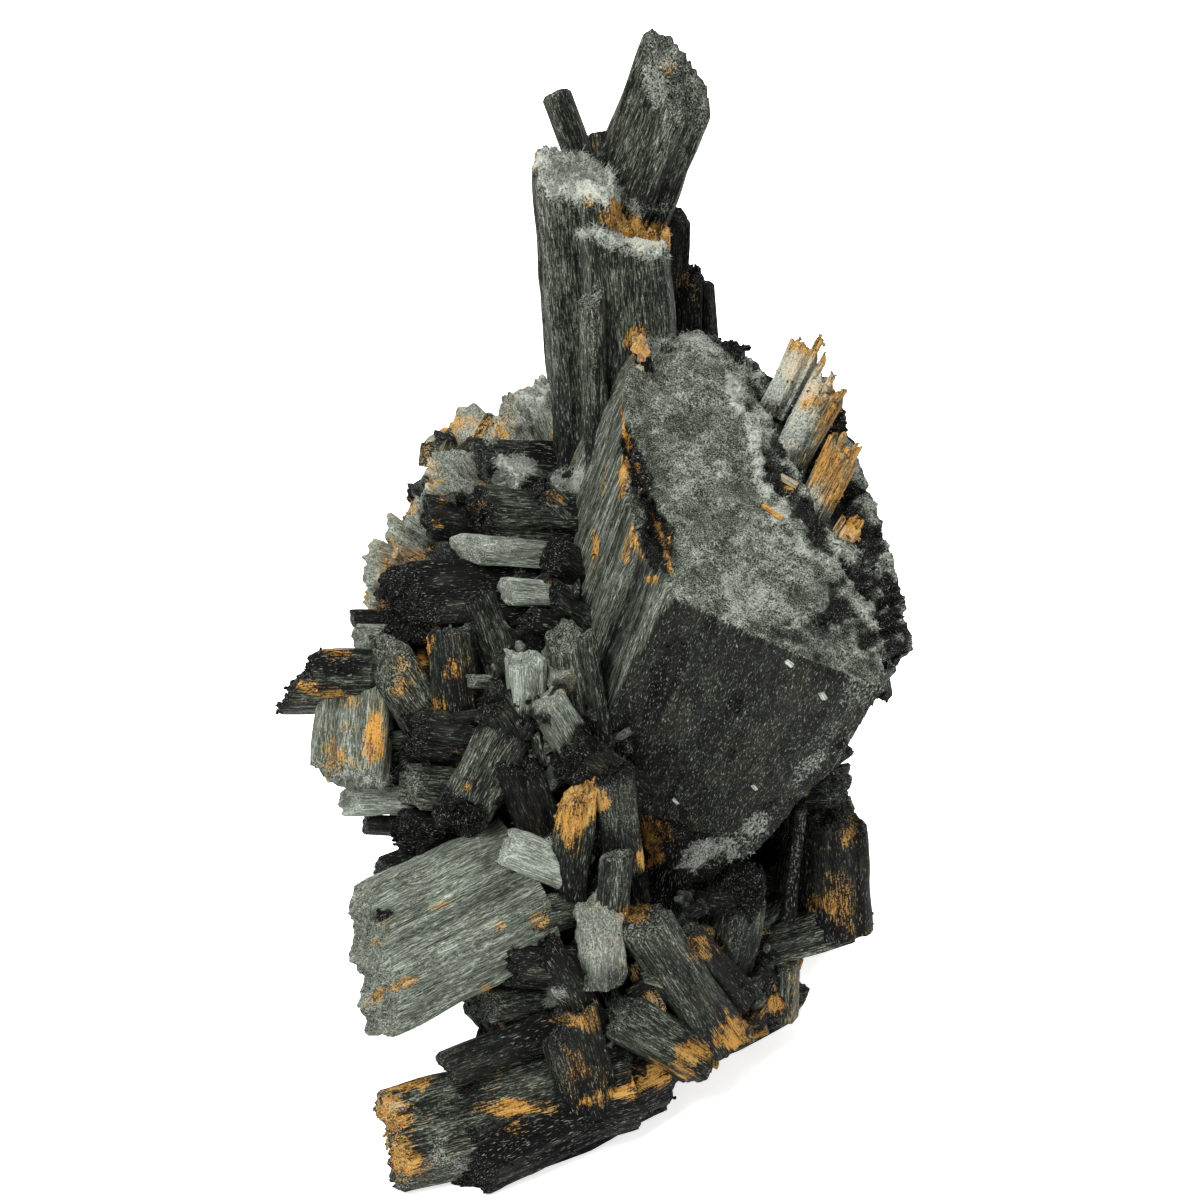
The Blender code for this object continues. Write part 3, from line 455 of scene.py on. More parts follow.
BOX_MARGIN = 0.4
GROUND_MARGIN = 0.15

# Chips that stick to a piece: across, rise, length, width, turn, frost and rust.
CHIP_SEED = 91
CHIPS = [
    ("splinters", 3.9, 85.5, 1.2, 1.0, 20, 0.0, 1.0),
    ("splinters", 3.8, 85.1, 1.3, 1.1, -30, 0.1, 1.0),
    ("splinters", 4.2, 84.7, 1.3, 1.0, 50, 0.1, 1.0),
    ("splinters", 4.1, 84.2, 1.2, 0.9, 0, 0.2, 1.0),
    ("great_prism", 4.3, 83.2, 1.9, 0.9, -50, 0.35, 0.5),
    ("great_prism", 19.0, 71.5, 1.9, 0.8, 60, 0.0, 1.0),
    ("great_prism", 17.3, 68.4, 2.2, 0.6, 50, 0.0, 1.0),
    ("great_prism", 15.5, 41.0, 0.6, 0.45, 20, 0.4, 0.2),
    ("great_prism", 22.4, 50.2, 0.7, 0.7, 0, 0.35, 0.0),
    ("great_prism", 19.0, 53.4, 0.7, 0.6, 40, 0.3, 0.0),
    ("great_prism", 7.6, 39.6, 0.7, 0.4, 30, 0.4, 0.3),
]

# The marks kept with every mesh, and how pale a crystal is by its look, from 0 dark to 1 bleached.
# The grit mark is black grit and also painted shade: in hollows, in the pit, towards roots and on down-facing
# sides.
MARKS = ("frost", "rust", "grit", "tone")
TONES = {"d": 0.13, "k": 0.36, "p": 0.67, "b": 0.8, "c": 0.7, "s": 0.66, "m": 0.42}
TONE_SPREAD = 0.05
ANY_TONE = (0.18, 0.42)

# What moves a crystal's own shade: a pattern, its range, and how far the shade moves at each end of that.
SHADE_MOVES = (
    ("streaks", 0.42, 0.49, -0.3, 0.0),
    ("streaks", 0.51, 0.57, 0.0, 0.26),
    # Pale dashes on the hairs: partly pale fibres, partly glints painted into the colour.
    ("hairs", 0.62, 0.7, 0.0, 0.2),
    ("bands", 0.35, 0.65, -0.12, 0.12),
    ("clouds", 0.34, 0.56, -0.22, 0.0),
    ("felt", 0.38, 0.5, -0.3, 0.0),
)
OLIVE_BROWN = "#37332a"
DRY_RUST = "#a8874c"
BUMP_HEIGHT = 0.45

# How far below an end its felt, rust and splinter stain reach, in millimetres.
END_BAND = 1.3
FROST_BAND = 0.7
OCHRE_BAND = 3.0
SPLINTER_BAND = 4.6
# Normals this much along a prism belong to its end.
END_FACING = (0.55, 0.8)

# The lights: name, place and size in metres, and power in watts.
LIGHTS = (
    ("key", (-0.4, -0.45, 0.9), 0.6, 24.0),
    ("fill", (0.7, -0.6, 0.5), 0.8, 4.0),
    ("top", (0.05, 0.25, 1.0), 0.8, 14.0),
)
LIGHTS_AIM = (0.0, 0.0, 0.05)
ROOM_LIGHT = 0.4
FLOOR_SIZE = 8.0
SENSOR_WIDTH = 36.0
CAMERA_CLIP = (0.01, 50.0)


def linear(text):
    """An sRGB hex colour as linear red, green, blue and alpha."""
    parts = [int(text[place:place + 2], 16) / 255.0 for place in (1, 3, 5)]
    return [c / 12.92 if c <= 0.04045 else ((c + 0.055) / 1.055) ** 2.4 for c in parts] + [1.0]


def colour(name, description, text):
    """A colour that a user may change."""
    return FloatVectorProperty(
        name=name, description=description, default=linear(text), subtype="COLOR", size=4, min=0.0, max=1.0
    )


class AmphiboleSettings(bpy.types.PropertyGroup):
    """Sizes and colours of the specimen."""

    rib_height: FloatProperty(
        name="Rib height", description="How far the ribs of a large cleaved face stand out",
        default=0.24 * MM, unit="LENGTH", subtype="DISTANCE")
    break_height: FloatProperty(
        name="Break height", description="How far the fibre bundles of a broken end stand out",
        default=0.7 * MM, unit="LENGTH", subtype="DISTANCE")
    fibre_width: FloatProperty(
        name="Fibre width", description="Width of one fibre bundle, drawn as coarse as it needs to show",
        default=0.125 * MM, unit="LENGTH", subtype="DISTANCE")
    shard_count: IntProperty(
        name="Shards", description="Small crystals that grow on the matrix", default=2300, min=1)
    crumb_count: IntProperty(
        name="Crumbs", description="Crumbs of each kind on the faces", default=5000, min=4)
    whisker_count: IntProperty(
        name="Whiskers", description="Fine needles on the frosted ends", default=13000, min=10)
    dark: colour("Dark", "Gaps between fibres", "#0b0b0a")
    dark_green: colour("Dark green", "Fibres in the darkest crystals", "#22251f")
    green: colour("Green", "Fibres in most crystals", "#454a40")
    pale: colour("Pale", "Fibres in weathered crystals", "#6e7469")
    bleached: colour("Bleached", "Fibres in bleached crystals", "#a6ada8")
    frost: colour("Frost", "Pale felt of fine needles", "#9ca197")
    rust: colour("Rust", "Ochre limonite stain", "#a07434")
    deep_rust: colour("Deep rust", "Brown limonite stain", "#452f18")
    # Near-black of the black grit, also used for shade painted into hollows, the pit and down-facing sides.
    grit: colour("Grit", "Black granular amphibole", "#070707")


def seen(across, rise, depth):
    """The place, in millimetres, of a point given as the eye sees it."""
    nearness = 1.0 + depth / EYE_DISTANCE
    in_view = Vector((across * nearness, 0.0, 0.0)) + SIGHT_UP * ((rise - AIM_RISE) * nearness)
    return EYE_AIM + in_view + SIGHT * depth


def as_seen(places):
    """Across, rise and depth, as the eye sees them, of places in millimetres."""
    from_aim = places - np.array(EYE_AIM)
    depth = from_aim @ np.array(SIGHT)
    nearness = 1.0 + depth / EYE_DISTANCE
    return from_aim[:, 0] / nearness, AIM_RISE + from_aim @ np.array(SIGHT_UP) / nearness, depth


def knots(cells, seed):
    """A number from -1 to 1 for each cell corner, always the same for the same corner."""
    stirred = cells[:, 0] * 73856093 ^ cells[:, 1] * 19349663 ^ cells[:, 2] * 83492791
    stirred = (stirred ^ (seed * 40503 + 977)) & 0xFFFFFFFF
    for shift, factor in ((15, 739190017), (13, 961748941)):
        stirred = ((stirred ^ (stirred >> shift)) * factor) & 0xFFFFFFFF
    return (stirred ^ (stirred >> 16)) / 2147483647.5 - 1.0


def noise(places, size, seed=0):
    """Smooth noise from -1 to 1; size is the spacing of its knots, one number or three."""
    in_knots = places / np.array(size, float)
    cells = np.floor(in_knots).astype(np.int64)
    part = in_knots - cells
    part = part * part * (3.0 - 2.0 * part)
    total = np.zeros(len(places))
    for corner in np.ndindex(2, 2, 2):
        share = np.ones(len(places))
        for axis in range(3):
            share *= part[:, axis] if corner[axis] else 1.0 - part[:, axis]
        total += share * knots(cells + np.array(corner), seed)
    return total


def layered(places, layers):
    """Layers of noise added up."""
    return sum(strength * noise(places, size, seed) for strength, size, seed in layers)


def steps(values, height):
    """Values rounded to flat steps with short slopes between them."""
    whole = np.floor(values / height)
    part = np.clip((values / height - whole) * 4.0 - 1.5, 0.0, 1.0)
    return (whole + part) * height


def section(width, thick, flat):
    """The six corners of a flattened prism's section."""
    half, deep = width / 2.0, thick / 2.0
    near = half * flat
    return [(-half, 0.0), (-near, deep), (near, deep), (half, 0.0), (near, -deep), (-near, -deep)]


def worn_loop(corners, spacing, wear):
    """Evenly spaced points round a section, its corners worn round, and the way out at each."""
    closed = np.array(corners + corners[:1])
    reach = np.concatenate([[0.0], np.cumsum(np.linalg.norm(np.diff(closed, axis=0), axis=1))])
    count = max(18, round(reach[-1] / spacing))
    at = np.linspace(0.0, reach[-1], count, endpoint=False)
    loop = np.stack([np.interp(at, reach, closed[:, k]) for k in (0, 1)], axis=1)
    for _ in range(max(1, round((wear / spacing) ** 2))):
        loop = (np.roll(loop, 1, axis=0) + 2.0 * loop + np.roll(loop, -1, axis=0)) / 4.0
    along = np.roll(loop, -1, axis=0) - np.roll(loop, 1, axis=0)
    out = np.stack([-along[:, 1], along[:, 0]], axis=1)
    return loop, out / np.linalg.norm(out, axis=1)[:, None]


def rib_relief(fibres, large):
    """How far ribs and laths of a cleaved face stand out, in millimetres, from its fibre coordinates."""
    height = bpy.context.scene.amphibole.rib_height / MM
    relief = layered(fibres, RIB_LAYERS)
    laths = steps(1.6 * noise(fibres, (2.6, 2.6, 45.0), 3), 0.8)
    chips = np.minimum(0.0, noise(fibres, (1.1, 1.1, 3.5), 4) + 0.35)
    return height * large * (relief + 1.6 * laths + 2.2 * chips)


def break_relief(fibres, large):
    """How far the fibre bundles of a broken end stand out, in millimetres."""
    height = bpy.context.scene.amphibole.break_height / MM
    flat = fibres * np.array((1.0, 1.0, 0.0))
    bundles = steps(noise(flat, 1.7, 5), 0.35) + 0.7 * steps(noise(flat, 0.75, 6), 0.3)
    return height * large * (bundles + 0.45 * noise(flat, 0.35, 7) - 0.5)


def below_rows(length, wear, spacing):
    """Distances below the rim, growing towards the root."""
    rows, gap = [wear], spacing
    while rows[-1] < length:
        rows.append(rows[-1] + gap)
        gap = min(gap * ALONG_GROWTH, ALONG_MOST)
    rows[-1] = length
    return np.array(rows[::-1])


def smooth_share(values, start, end):
    """0 at start, 1 at end, smooth between."""
    share = np.clip((values - start) / (end - start), 0.0, 1.0)
    return share * share * (3.0 - 2.0 * share)


def patch_share(places, patches):
    """How much of a patch each place has; patches are turned ellipses in the eye's view."""
    across, rise, depth = as_seen(places)
    shown = 1.0 - smooth_share(depth, *PATCH_DEPTH)
    ragged = layered(places, RAGGED_LAYERS)
    share = np.zeros(len(places))
    for middle, height, wide, high, turn, most in patches:
        cos, sin = math.cos(math.radians(turn)), math.sin(math.radians(turn))
        right, up = across - middle, rise - height
        near = np.nonzero(np.hypot(right, up) < PATCH_REACH * max(wide, high))[0]
        right, up = right[near], up[near]
        away = np.hypot((right * cos + up * sin) / wide, (up * cos - right * sin) / high)
        inside = most * (1.0 - smooth_share(away + ragged[near], *PATCH_EDGE)) * shown[near]
        share[near] = np.maximum(share[near], inside)
    return share


def tone_of(look, chance):
    """How pale a crystal is, from 0 dark to 1 bleached."""
    for letter, tone in TONES.items():
        if letter in look:
            return tone + chance.uniform(-TONE_SPREAD, TONE_SPREAD)
    return chance.uniform(*ANY_TONE)


def crystal_marks(look, places, below, length, on_end, tone, ribs):
    """Frost, rust, black grains with painted shade, and tone of each place of a crystal; ribs is how far its
    ribs stand out there.
    """
    wide = noise(places, 2.2, 8)
    near_end = np.exp(-below / END_BAND)
    frost = 0.12 * on_end + 0.10 * near_end
    rust = np.zeros(len(places))
    # Black towards the root, partly dirt and partly painted contact shade where it meets the matrix, and
    # painted shade in the valleys between ribs.
    grit = 0.5 * smooth_share(below, 0.3 * length, 0.85 * length) + 0.35 * smooth_share(-ribs, 0.15, 0.7)
    if "p" in look or "b" in look:
        grit *= 0.3
    frost += 0.2 * smooth_share(ribs, 0.15, 0.5)
    if "f" in look:
        frost += 0.3 * on_end + 0.55 * np.exp(-below / FROST_BAND)
    if "g" in look:
        grit += 0.75 * on_end + 0.5 * near_end
    if "d" in look:
        grit += 0.15
    if "o" in look:
        rust += np.exp(-(below / OCHRE_BAND) ** 2)
    if "s" in look:
        rust += 0.25 + 0.9 * np.exp(-(below / SPLINTER_BAND) ** 2) + 0.3 * wide
        # Painted shade: black in the cracks between a splinter's ribs.
        grit += 0.5 * smooth_share(-ribs, 0.0, 0.3)
    if "r" in look:
        rust += 0.1 + 0.45 * wide
    if "c" in look:
        frost += 0.14 + 0.4 * wide
        rust += 0.45 - 0.6 * noise(places, 3.4, 10)
    frost = np.maximum(frost, 0.85 * patch_share(places, FROST_PATCHES))
    rust = np.maximum(rust, patch_share(places, RUST_PATCHES))
    grit = np.maximum(grit, patch_share(places, GRIT_PATCHES))
    return {"frost": frost, "rust": rust, "grit": grit, "tone": np.full(len(places), tone)}


def write_marks(mesh, fibres, marks):
    """Keeps each place's fibre coordinates, in millimetres, and its marks with the mesh."""
    mesh.attributes.new("fibre", "FLOAT_VECTOR", "POINT").data.foreach_set(
        "vector", fibres.astype(np.float32).ravel())
    for name in MARKS:
        values = np.clip(marks[name], 0.0, 1.0).astype(np.float32)
        mesh.attributes.new(name, "FLOAT", "POINT").data.foreach_set("value", values)


def in_metres(places):
    """Places in millimetres as the object's own coordinates."""
    return ((places - np.array(FOOT_MIDDLE)) * MM).astype(np.float32)


def crystal_sheet(name, crystal, tip, root, toward, chance, across=FINE_ACROSS, along=FINE_ALONG):
    """One crystal: a grid of quads from the root's middle, up the sides and to the tip's middle."""
    length = (tip - root).length
    axis = (tip - root) / length
    side = Matrix.Rotation(math.radians(crystal.roll), 3, axis) @ axis.cross(toward).normalized()
    front = side.cross(axis)
    slope = math.tan(math.radians(crystal.slant))
    lean = chance.uniform(-END_LEAN, END_LEAN) if crystal.lean is None else crystal.lean
    corners = []
    for right, fore in section(crystal.width, crystal.thick, crystal.flat):
        right *= 1.0 + chance.uniform(-SECTION_WOBBLE, SECTION_WOBBLE)
        fore *= 1.0 + chance.uniform(-SECTION_WOBBLE, SECTION_WOBBLE)
        corners.append((right, fore))
    small = min(crystal.width, crystal.thick)
    large = min(1.0, small / FULL_RELIEF)
    wear = WEAR + WEAR_PER_MM * small
    loop, out = worn_loop(corners, across, wear)
    offset = np.array([chance.uniform(0.0, 400.0) for _ in range(3)])

    def top(flat_places):
        plane = np.column_stack([flat_places, np.zeros(len(flat_places))]) + offset
        ragged = SPLINTER_RAGGED if "s" in crystal.look or "o" in crystal.look else 1.0
        tilt = flat_places[:, 0] * slope + flat_places[:, 1] * lean
        return length + tilt + ragged * break_relief(plane, large)

    rim = top(loop)
    level = np.zeros(len(loop))
    layers = [(np.zeros_like(loop), level, length, 0.0, level)]
    for below in below_rows(length, wear, along):
        height = rim * (1.0 - below / length)
        fibres = np.column_stack([loop, height - length]) + offset
        swell = 1.0 + 0.02 * math.sin(below * 0.7 + offset[0])
        ribs = rib_relief(fibres, large)
        if "c" in crystal.look:
            ribs += 0.45 * noise(fibres, 1.3, 9)
        layers.append((loop * swell + out * ribs[:, None], height, below, 0.0, ribs))
    outline = layers[-1][0]
    radius = np.linalg.norm(outline, axis=1).mean()
    share = 1.0 - 0.8 * wear / radius
    while share > 0.12:
        inner = outline * share
        dip = 0.12 * wear if share > 0.9 else 0.0
        layers.append((inner, top(inner) - dip, 0.0, 1.0, level))
        share -= 1.5 * across / radius
    layers.append((outline * 0.0, level + top(np.zeros((1, 2)))[0], 0.0, 1.0, level))

    flat_places = np.concatenate([np.vstack([layer[0], layer[0][:1]]) for layer in layers])
    heights, ribs = (np.concatenate([np.append(layer[k], layer[k][0]) for layer in layers]) for k in (1, 4))
    below = np.repeat([layer[2] for layer in layers], len(loop) + 1)
    on_end = np.repeat([layer[3] for layer in layers], len(loop) + 1)
    places = np.array(root) + flat_places @ np.array([side, front]) + heights[:, None] * np.array(axis)
    fibres = np.column_stack([flat_places, heights - length]) + offset

    bpy.ops.object.select_all(action="DESELECT")
    bpy.ops.mesh.primitive_grid_add(x_subdivisions=len(loop), y_subdivisions=len(layers) - 1, calc_uvs=False)
    sheet = bpy.context.object
    sheet.name = name
    sheet.data.vertices.foreach_set("co", in_metres(places).ravel())
    tone = tone_of(crystal.look, chance)
    marks = crystal_marks(crystal.look, places, below, length, on_end, tone, ribs)
    write_marks(sheet.data, fibres, marks)
    return sheet


def select_only(piece):
    bpy.ops.object.select_all(action="DESELECT")
    piece.select_set(True)
    bpy.context.view_layer.objects.active = piece


def joined(name, parts):
    """The parts as one piece."""
    bpy.ops.object.select_all(action="DESELECT")
    for part in parts:
        part.select_set(True)
    bpy.context.view_layer.objects.active = parts[0]
    if len(parts) > 1:
        bpy.ops.object.join()
    piece = bpy.context.view_layer.objects.active
    piece.name = name
    return piece


def apply_modifier(piece, kind, **settings):
    """Adds a modifier and applies it, as a click on Apply does."""
    select_only(piece)
    modifier = piece.modifiers.new(kind.lower(), kind)
    for name, value in settings.items():
        setattr(modifier, name, value)
    bpy.ops.object.modifier_apply(modifier=modifier.name)


def finish_piece(piece, material, smooth_angle=CRYSTAL_EDGE, cut=False):
    """Closes seams and poles, cuts the piece off at the ground, shades it and puts it on the body."""
    select_only(piece)
    bpy.ops.object.mode_set(mode="EDIT")
    bpy.ops.mesh.select_all(action="SELECT")
    bpy.ops.mesh.remove_doubles(threshold=1e-6)
    if cut:
        bpy.ops.mesh.select_all(action="SELECT")
        bpy.ops.mesh.bisect(
            plane_co=(0, 0, 0), plane_no=(0, 0, 1), use_fill=True, clear_inner=True, threshold=1e-6)
    bpy.ops.object.mode_set(mode="OBJECT")
    bpy.ops.object.shade_smooth_by_angle(angle=math.radians(smooth_angle))
    piece.data.materials.clear()
    piece.data.materials.append(material)
    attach(piece, "root")
    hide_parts(NODE)
    return piece


def sliver_bundle(name, crystal, tip, root, number):
    """A splinter with slivers of different lengths standing off it."""
    chance = random.Random(SLIVER_SEED + number)
    axis = (tip - root).normalized()
    across = axis.cross(-SIGHT).normalized()
    slivers = [crystal_sheet(name, crystal, tip - axis * SLIVER_SHORT, root, -SIGHT, chance)]
    for place in range(SLIVERS):
        right = (place / (SLIVERS - 1) - 0.5) * SLIVER_ROW * crystal.width
        aside = across * right + across.cross(axis) * chance.uniform(*SLIVER_ASIDE) * crystal.thick
        reach = chance.uniform(*SLIVER_REACH)
        end = root + aside + (tip - root) * reach
        width = crystal.width * chance.uniform(*SLIVER_WIDTH)
        roll, slant = chance.uniform(*SLIVER_ROLL), chance.uniform(*SLIVER_SLANT)
        thin = crystal._replace(width=width, thick=width * SLIVER_THICKNESS, roll=roll, slant=slant)
        slivers.append(crystal_sheet(name, thin, end, root + aside * SLIVER_ROOTS, -SIGHT, chance))
    return slivers


def seen_crystals(name, crystals, first):
    """The crystals of one table, numbered from first as in the solid, because the number seeds the shape."""
    parts = []
    for number, row in enumerate(crystals, first):
        crystal = Crystal(*row)
        tip, root = seen(*crystal.tip), seen(*crystal.root)
        if "s" in crystal.look:
            parts += sliver_bundle(name, crystal, tip, root, number)
        else:
            parts.append(crystal_sheet(name, crystal, tip, root, -SIGHT, random.Random(number)))
    return parts


def far_crystals():
    """Crystals that lean out of the matrix behind and beside, in the places that they have in the solid."""
    chance = random.Random(FAR_SEED)
    parts = []
    for lump, count, fan_start, fan_end, standing in FAR_SIDE:
        middle, half = Vector(MATRIX[lump][0]), MATRIX[lump][1]
        for number in range(count):
            turn = math.radians(fan_start + (fan_end - fan_start) * (number + 0.5) / count)
            way = Vector((math.cos(turn), math.sin(turn), chance.uniform(-FAR_LIFT, FAR_LIFT))).normalized()
            reach = 1.0 / math.sqrt(sum((a / b) ** 2 for a, b in zip(way, half)))
            aside = way.cross(Vector((chance.uniform(-1, 1), chance.uniform(-1, 1), 1.0))).normalized()
            length = chance.uniform(*FAR_LENGTH)
            root = middle + way * reach * (FAR_ROOT[0] + FAR_ROOT[1] * (1.0 - standing))
            aslant = aside * chance.uniform(-1.0, 1.0) * (FAR_ASIDE - standing)
            tip = root + (way * standing + aslant) * length
            width = chance.uniform(*FAR_WIDTH)
            roll, slant = chance.uniform(-FAR_TURN, FAR_TURN), chance.uniform(-FAR_SLANT, FAR_SLANT)
            look = random.Random(len(parts)).choice(FAR_LOOKS)
            across, rise, _ = as_seen(np.array([tip]))
            if across[0] < WEATHERED[0] and rise[0] > WEATHERED[1]:
                look = "c"
            spec = Crystal(tip, root, width, width * FAR_THICKNESS, look, roll, FAR_FLAT, slant)
            state = chance.getstate()
            sheet = crystal_sheet("far", spec, tip, root, FAR_TOWARD, chance, COARSE_ACROSS, COARSE_ALONG)
            chance.setstate(state)
            for _ in range(FAR_DRAWS):
                chance.random()
            parts.append(sheet)
    return parts


def hull(name, places):
    """A closed convex solid round places in millimetres."""
    mesh = bpy.data.meshes.new(name)
    mesh.from_pydata([(place - FOOT_MIDDLE) * MM for place in places], [], [])
    solid = bpy.data.objects.new(name, mesh)
    bpy.context.scene.collection.objects.link(solid)
    select_only(solid)
    bpy.ops.object.mode_set(mode="EDIT")
    bpy.ops.mesh.select_all(action="SELECT")
    bpy.ops.mesh.convex_hull()
    bpy.ops.mesh.normals_make_consistent(inside=False)
    bpy.ops.object.mode_set(mode="OBJECT")
    return solid


def mesh_arrays(mesh):
    """Places in millimetres and normals of a mesh's vertices."""
    count = len(mesh.vertices)
    places, normals = np.empty(count * 3, np.float32), np.empty(count * 3, np.float32)
    mesh.vertices.foreach_get("co", places)
    mesh.vertex_normals.foreach_get("vector", normals)
    places, normals = (values.reshape(-1, 3).astype(float) for values in (places, normals))
    return places / MM + np.array(FOOT_MIDDLE), normals


def fibre_frame(near_end, far_end):
    """The middle of the end that shows and the three directions of a great prism: across, fore and along."""
    near = sum((seen(*corner) for corner in near_end), Vector()) / len(near_end)
    far = sum((seen(*corner) for corner in far_end), Vector()) / len(far_end)
    along = (near - far).normalized()
    across = along.cross(-SIGHT).normalized()
    return near, np.array([across, across.cross(along), along])


def remeshed(solid, voxel):
    """The solid with an even mesh of small faces."""
    apply_modifier(solid, "REMESH", mode="VOXEL", voxel_size=voxel * MM)


def end_share(normals, along):
    """1 on faces that look along the prism, 0 on its sides."""
    return smooth_share(normals @ along, *END_FACING)


def great_prism():
    """The blocky prism, its edge eaten out by a long pit."""
    prism = hull("great_prism", [seen(*corner) for corner in GREAT_END + GREAT_FAR_END + [GREAT_BULGE]])
    out = [seen(*(a - 0.5 * b for a, b in zip(corner, PIT_WAY_IN))) for corner in PIT]
    deep = [seen(*(a + b for a, b in zip(corner, PIT_WAY_IN))) for corner in PIT]
    middle = sum(deep, Vector()) / len(deep)
    pit = hull("pit", out + [middle.lerp(place, PIT_TAPER) for place in deep])
    apply_modifier(prism, "BOOLEAN", operation="DIFFERENCE", solver="EXACT", object=pit)
    bpy.data.objects.remove(pit)
    remeshed(prism, GREAT_VOXEL)
    places, normals = mesh_arrays(prism.data)
    origin, axes = fibre_frame(GREAT_END, GREAT_FAR_END)
    fibres = (places - np.array(origin)) @ axes.T
    on_end = end_share(normals, axes[2])
    in_pit = patch_share(places, PIT_PATCHES)
    sides = rib_relief(fibres, 0.8)
    felt, crumbly = layered(places, FELT_LAYERS), layered(places, CRUMBLY_LAYERS)
    ridge = 0.55 * patch_share(places, RIDGE_PATCHES)
    banded = patch_share(places, GRIT_PATCHES)
    rough = patch_share(places, ROUGH_PATCHES)
    hills = layered(places, HILL_LAYERS)
    relief = sides * (1.0 - on_end) + (felt + ridge) * on_end
    relief += crumbly * np.maximum(in_pit, 0.5 * banded) + (hills - 0.3) * rough
    # low: the valleys between the ribs on the sides; the grit mark paints them black as shade.
    low = smooth_share(-sides, 0.1, 0.45) * (1.0 - on_end)
    raised = smooth_share(hills, -0.35, 0.5)
    prism.data.vertices.foreach_set("co", in_metres(places + normals * relief[:, None]).ravel())
    frost = np.maximum(0.2 * on_end + 0.02, 0.8 * patch_share(places, FROST_PATCHES))
    # lower: how far a side faces down as the eye sees it; such sides get painted shade, black through the grit
    # mark and darker through the tone.
    lower = smooth_share(-(normals @ np.array(SIGHT_UP)), -0.1, 0.5) * (1.0 - on_end)
    frost = (frost + layered(places, MOTTLED_LAYERS) * on_end + 0.9 * ridge) * (1.0 - 0.6 * banded)
    marks = {
        "frost": frost * (1.0 - rough) + 0.66 * raised * rough,
        "rust": patch_share(places, RUST_PATCHES),
        # Black here is partly the grit patches, partly painted shade: the pit, the low places of the rough
        # patches, the rib valleys and the down-facing sides.
        "grit": np.maximum.reduce([
            0.7 * banded, in_pit, 0.9 * rough * (1.0 - raised), 0.45 * low + 0.34 * lower]),
        "tone": 0.52 - 0.28 * lower,
    }
    write_marks(prism.data, fibres * np.array(GREAT_FIBRE) + 60.0, marks)
    return finish_piece(prism, fibrous_amphibole(), ROCK_EDGE)


def rough_ground():
    """The lower, crumbly ground right of the great prism's end."""
    ground = hull("rough_end", [seen(*corner) for corner in ROUGH_END + ROUGH_FAR_END])
    remeshed(ground, GREAT_VOXEL)
    places, normals = mesh_arrays(ground.data)
    origin, axes = fibre_frame(ROUGH_END, ROUGH_FAR_END)
    fibres = (places - np.array(origin)) @ axes.T
    on_end = end_share(normals, axes[2])
    lumps = layered(places, LUMP_LAYERS)
    holes = -1.1 * smooth_share(noise(places, 1.5, 34), 0.25, 0.5)
    ribs = rib_relief(fibres, 0.6) * (1.0 - on_end)
    relief = (lumps + holes) * np.maximum(on_end, 0.35) + ribs - 0.35
    ground.data.vertices.foreach_set("co", in_metres(places + normals * relief[:, None]).ravel())
    raised = smooth_share(lumps, -0.25, 0.6)
    frosted = patch_share(places, FROST_PATCHES)
    marks = {
        "frost": np.maximum(0.66 * raised * on_end, frosted * (0.35 + 0.65 * raised)),
        "rust": patch_share(places, RUST_PATCHES),
        # Black in the low places between lumps, less where frosted: shade painted into the hollows; the grit
        # patches add real black grit.
        "grit": np.maximum(
            (1.0 - 1.5 * raised) * (1.0 - 0.8 * frosted),
            patch_share(places, GRIT_PATCHES) * (1.0 - 0.5 * raised)),
        "tone": np.full(len(places), 0.4),
    }
    write_marks(ground.data, fibres, marks)
    return finish_piece(ground, fibrous_amphibole(), ROCK_EDGE)


def matrix():
    """The dark granular mass between and behind the crystals."""
    lumps = []
    for middle, half_sizes in MATRIX:
        bpy.ops.object.select_all(action="DESELECT")
        bpy.ops.mesh.primitive_ico_sphere_add(subdivisions=4, radius=1.0)
        lump = bpy.context.object
        places, _ = mesh_arrays(lump.data)
        round_places = (places - np.array(FOOT_MIDDLE)) * MM * np.array(half_sizes)
        bump = noise(round_places + np.array(middle), LUMP_SIZE, 41)
        swollen = round_places * (1.0 + 0.6 * LUMP_HEIGHT * bump)[:, None]
        lump.data.vertices.foreach_set("co", in_metres(swollen + np.array(middle)).ravel())
        lumps.append(lump)
    mass = joined("matrix", lumps)
    remeshed(mass, MATRIX_VOXEL)
    places, normals = mesh_arrays(mass.data)
    grains = layered(places, GRAIN_LAYERS)
    mass.data.vertices.foreach_set("co", in_metres(places + normals * (grains - 0.9)[:, None]).ravel())
    frost = 0.5 * smooth_share(noise(places, 5.0, 45), 0.15, 0.6) * smooth_share(grains, -0.2, 0.8)
    rust = 0.8 * smooth_share(noise(places, 6.0, 46), 0.2, 0.65)
    marks = {
        "frost": np.maximum(frost, patch_share(places, FROST_PATCHES)),
        "rust": np.maximum(rust, patch_share(places, RUST_PATCHES)),
        # The dark grains, blacker in the low places between them: partly their own colour, partly painted
        # shade.
        "grit": np.clip(0.85 - 0.5 * grains, 0.0, 1.0),
        "tone": 0.25 + 0.2 * noise(places, 4.0, 47),
    }
    write_marks(mass.data, places, marks)
    return finish_piece(mass, fibrous_amphibole(), ROCK_EDGE, cut=True)


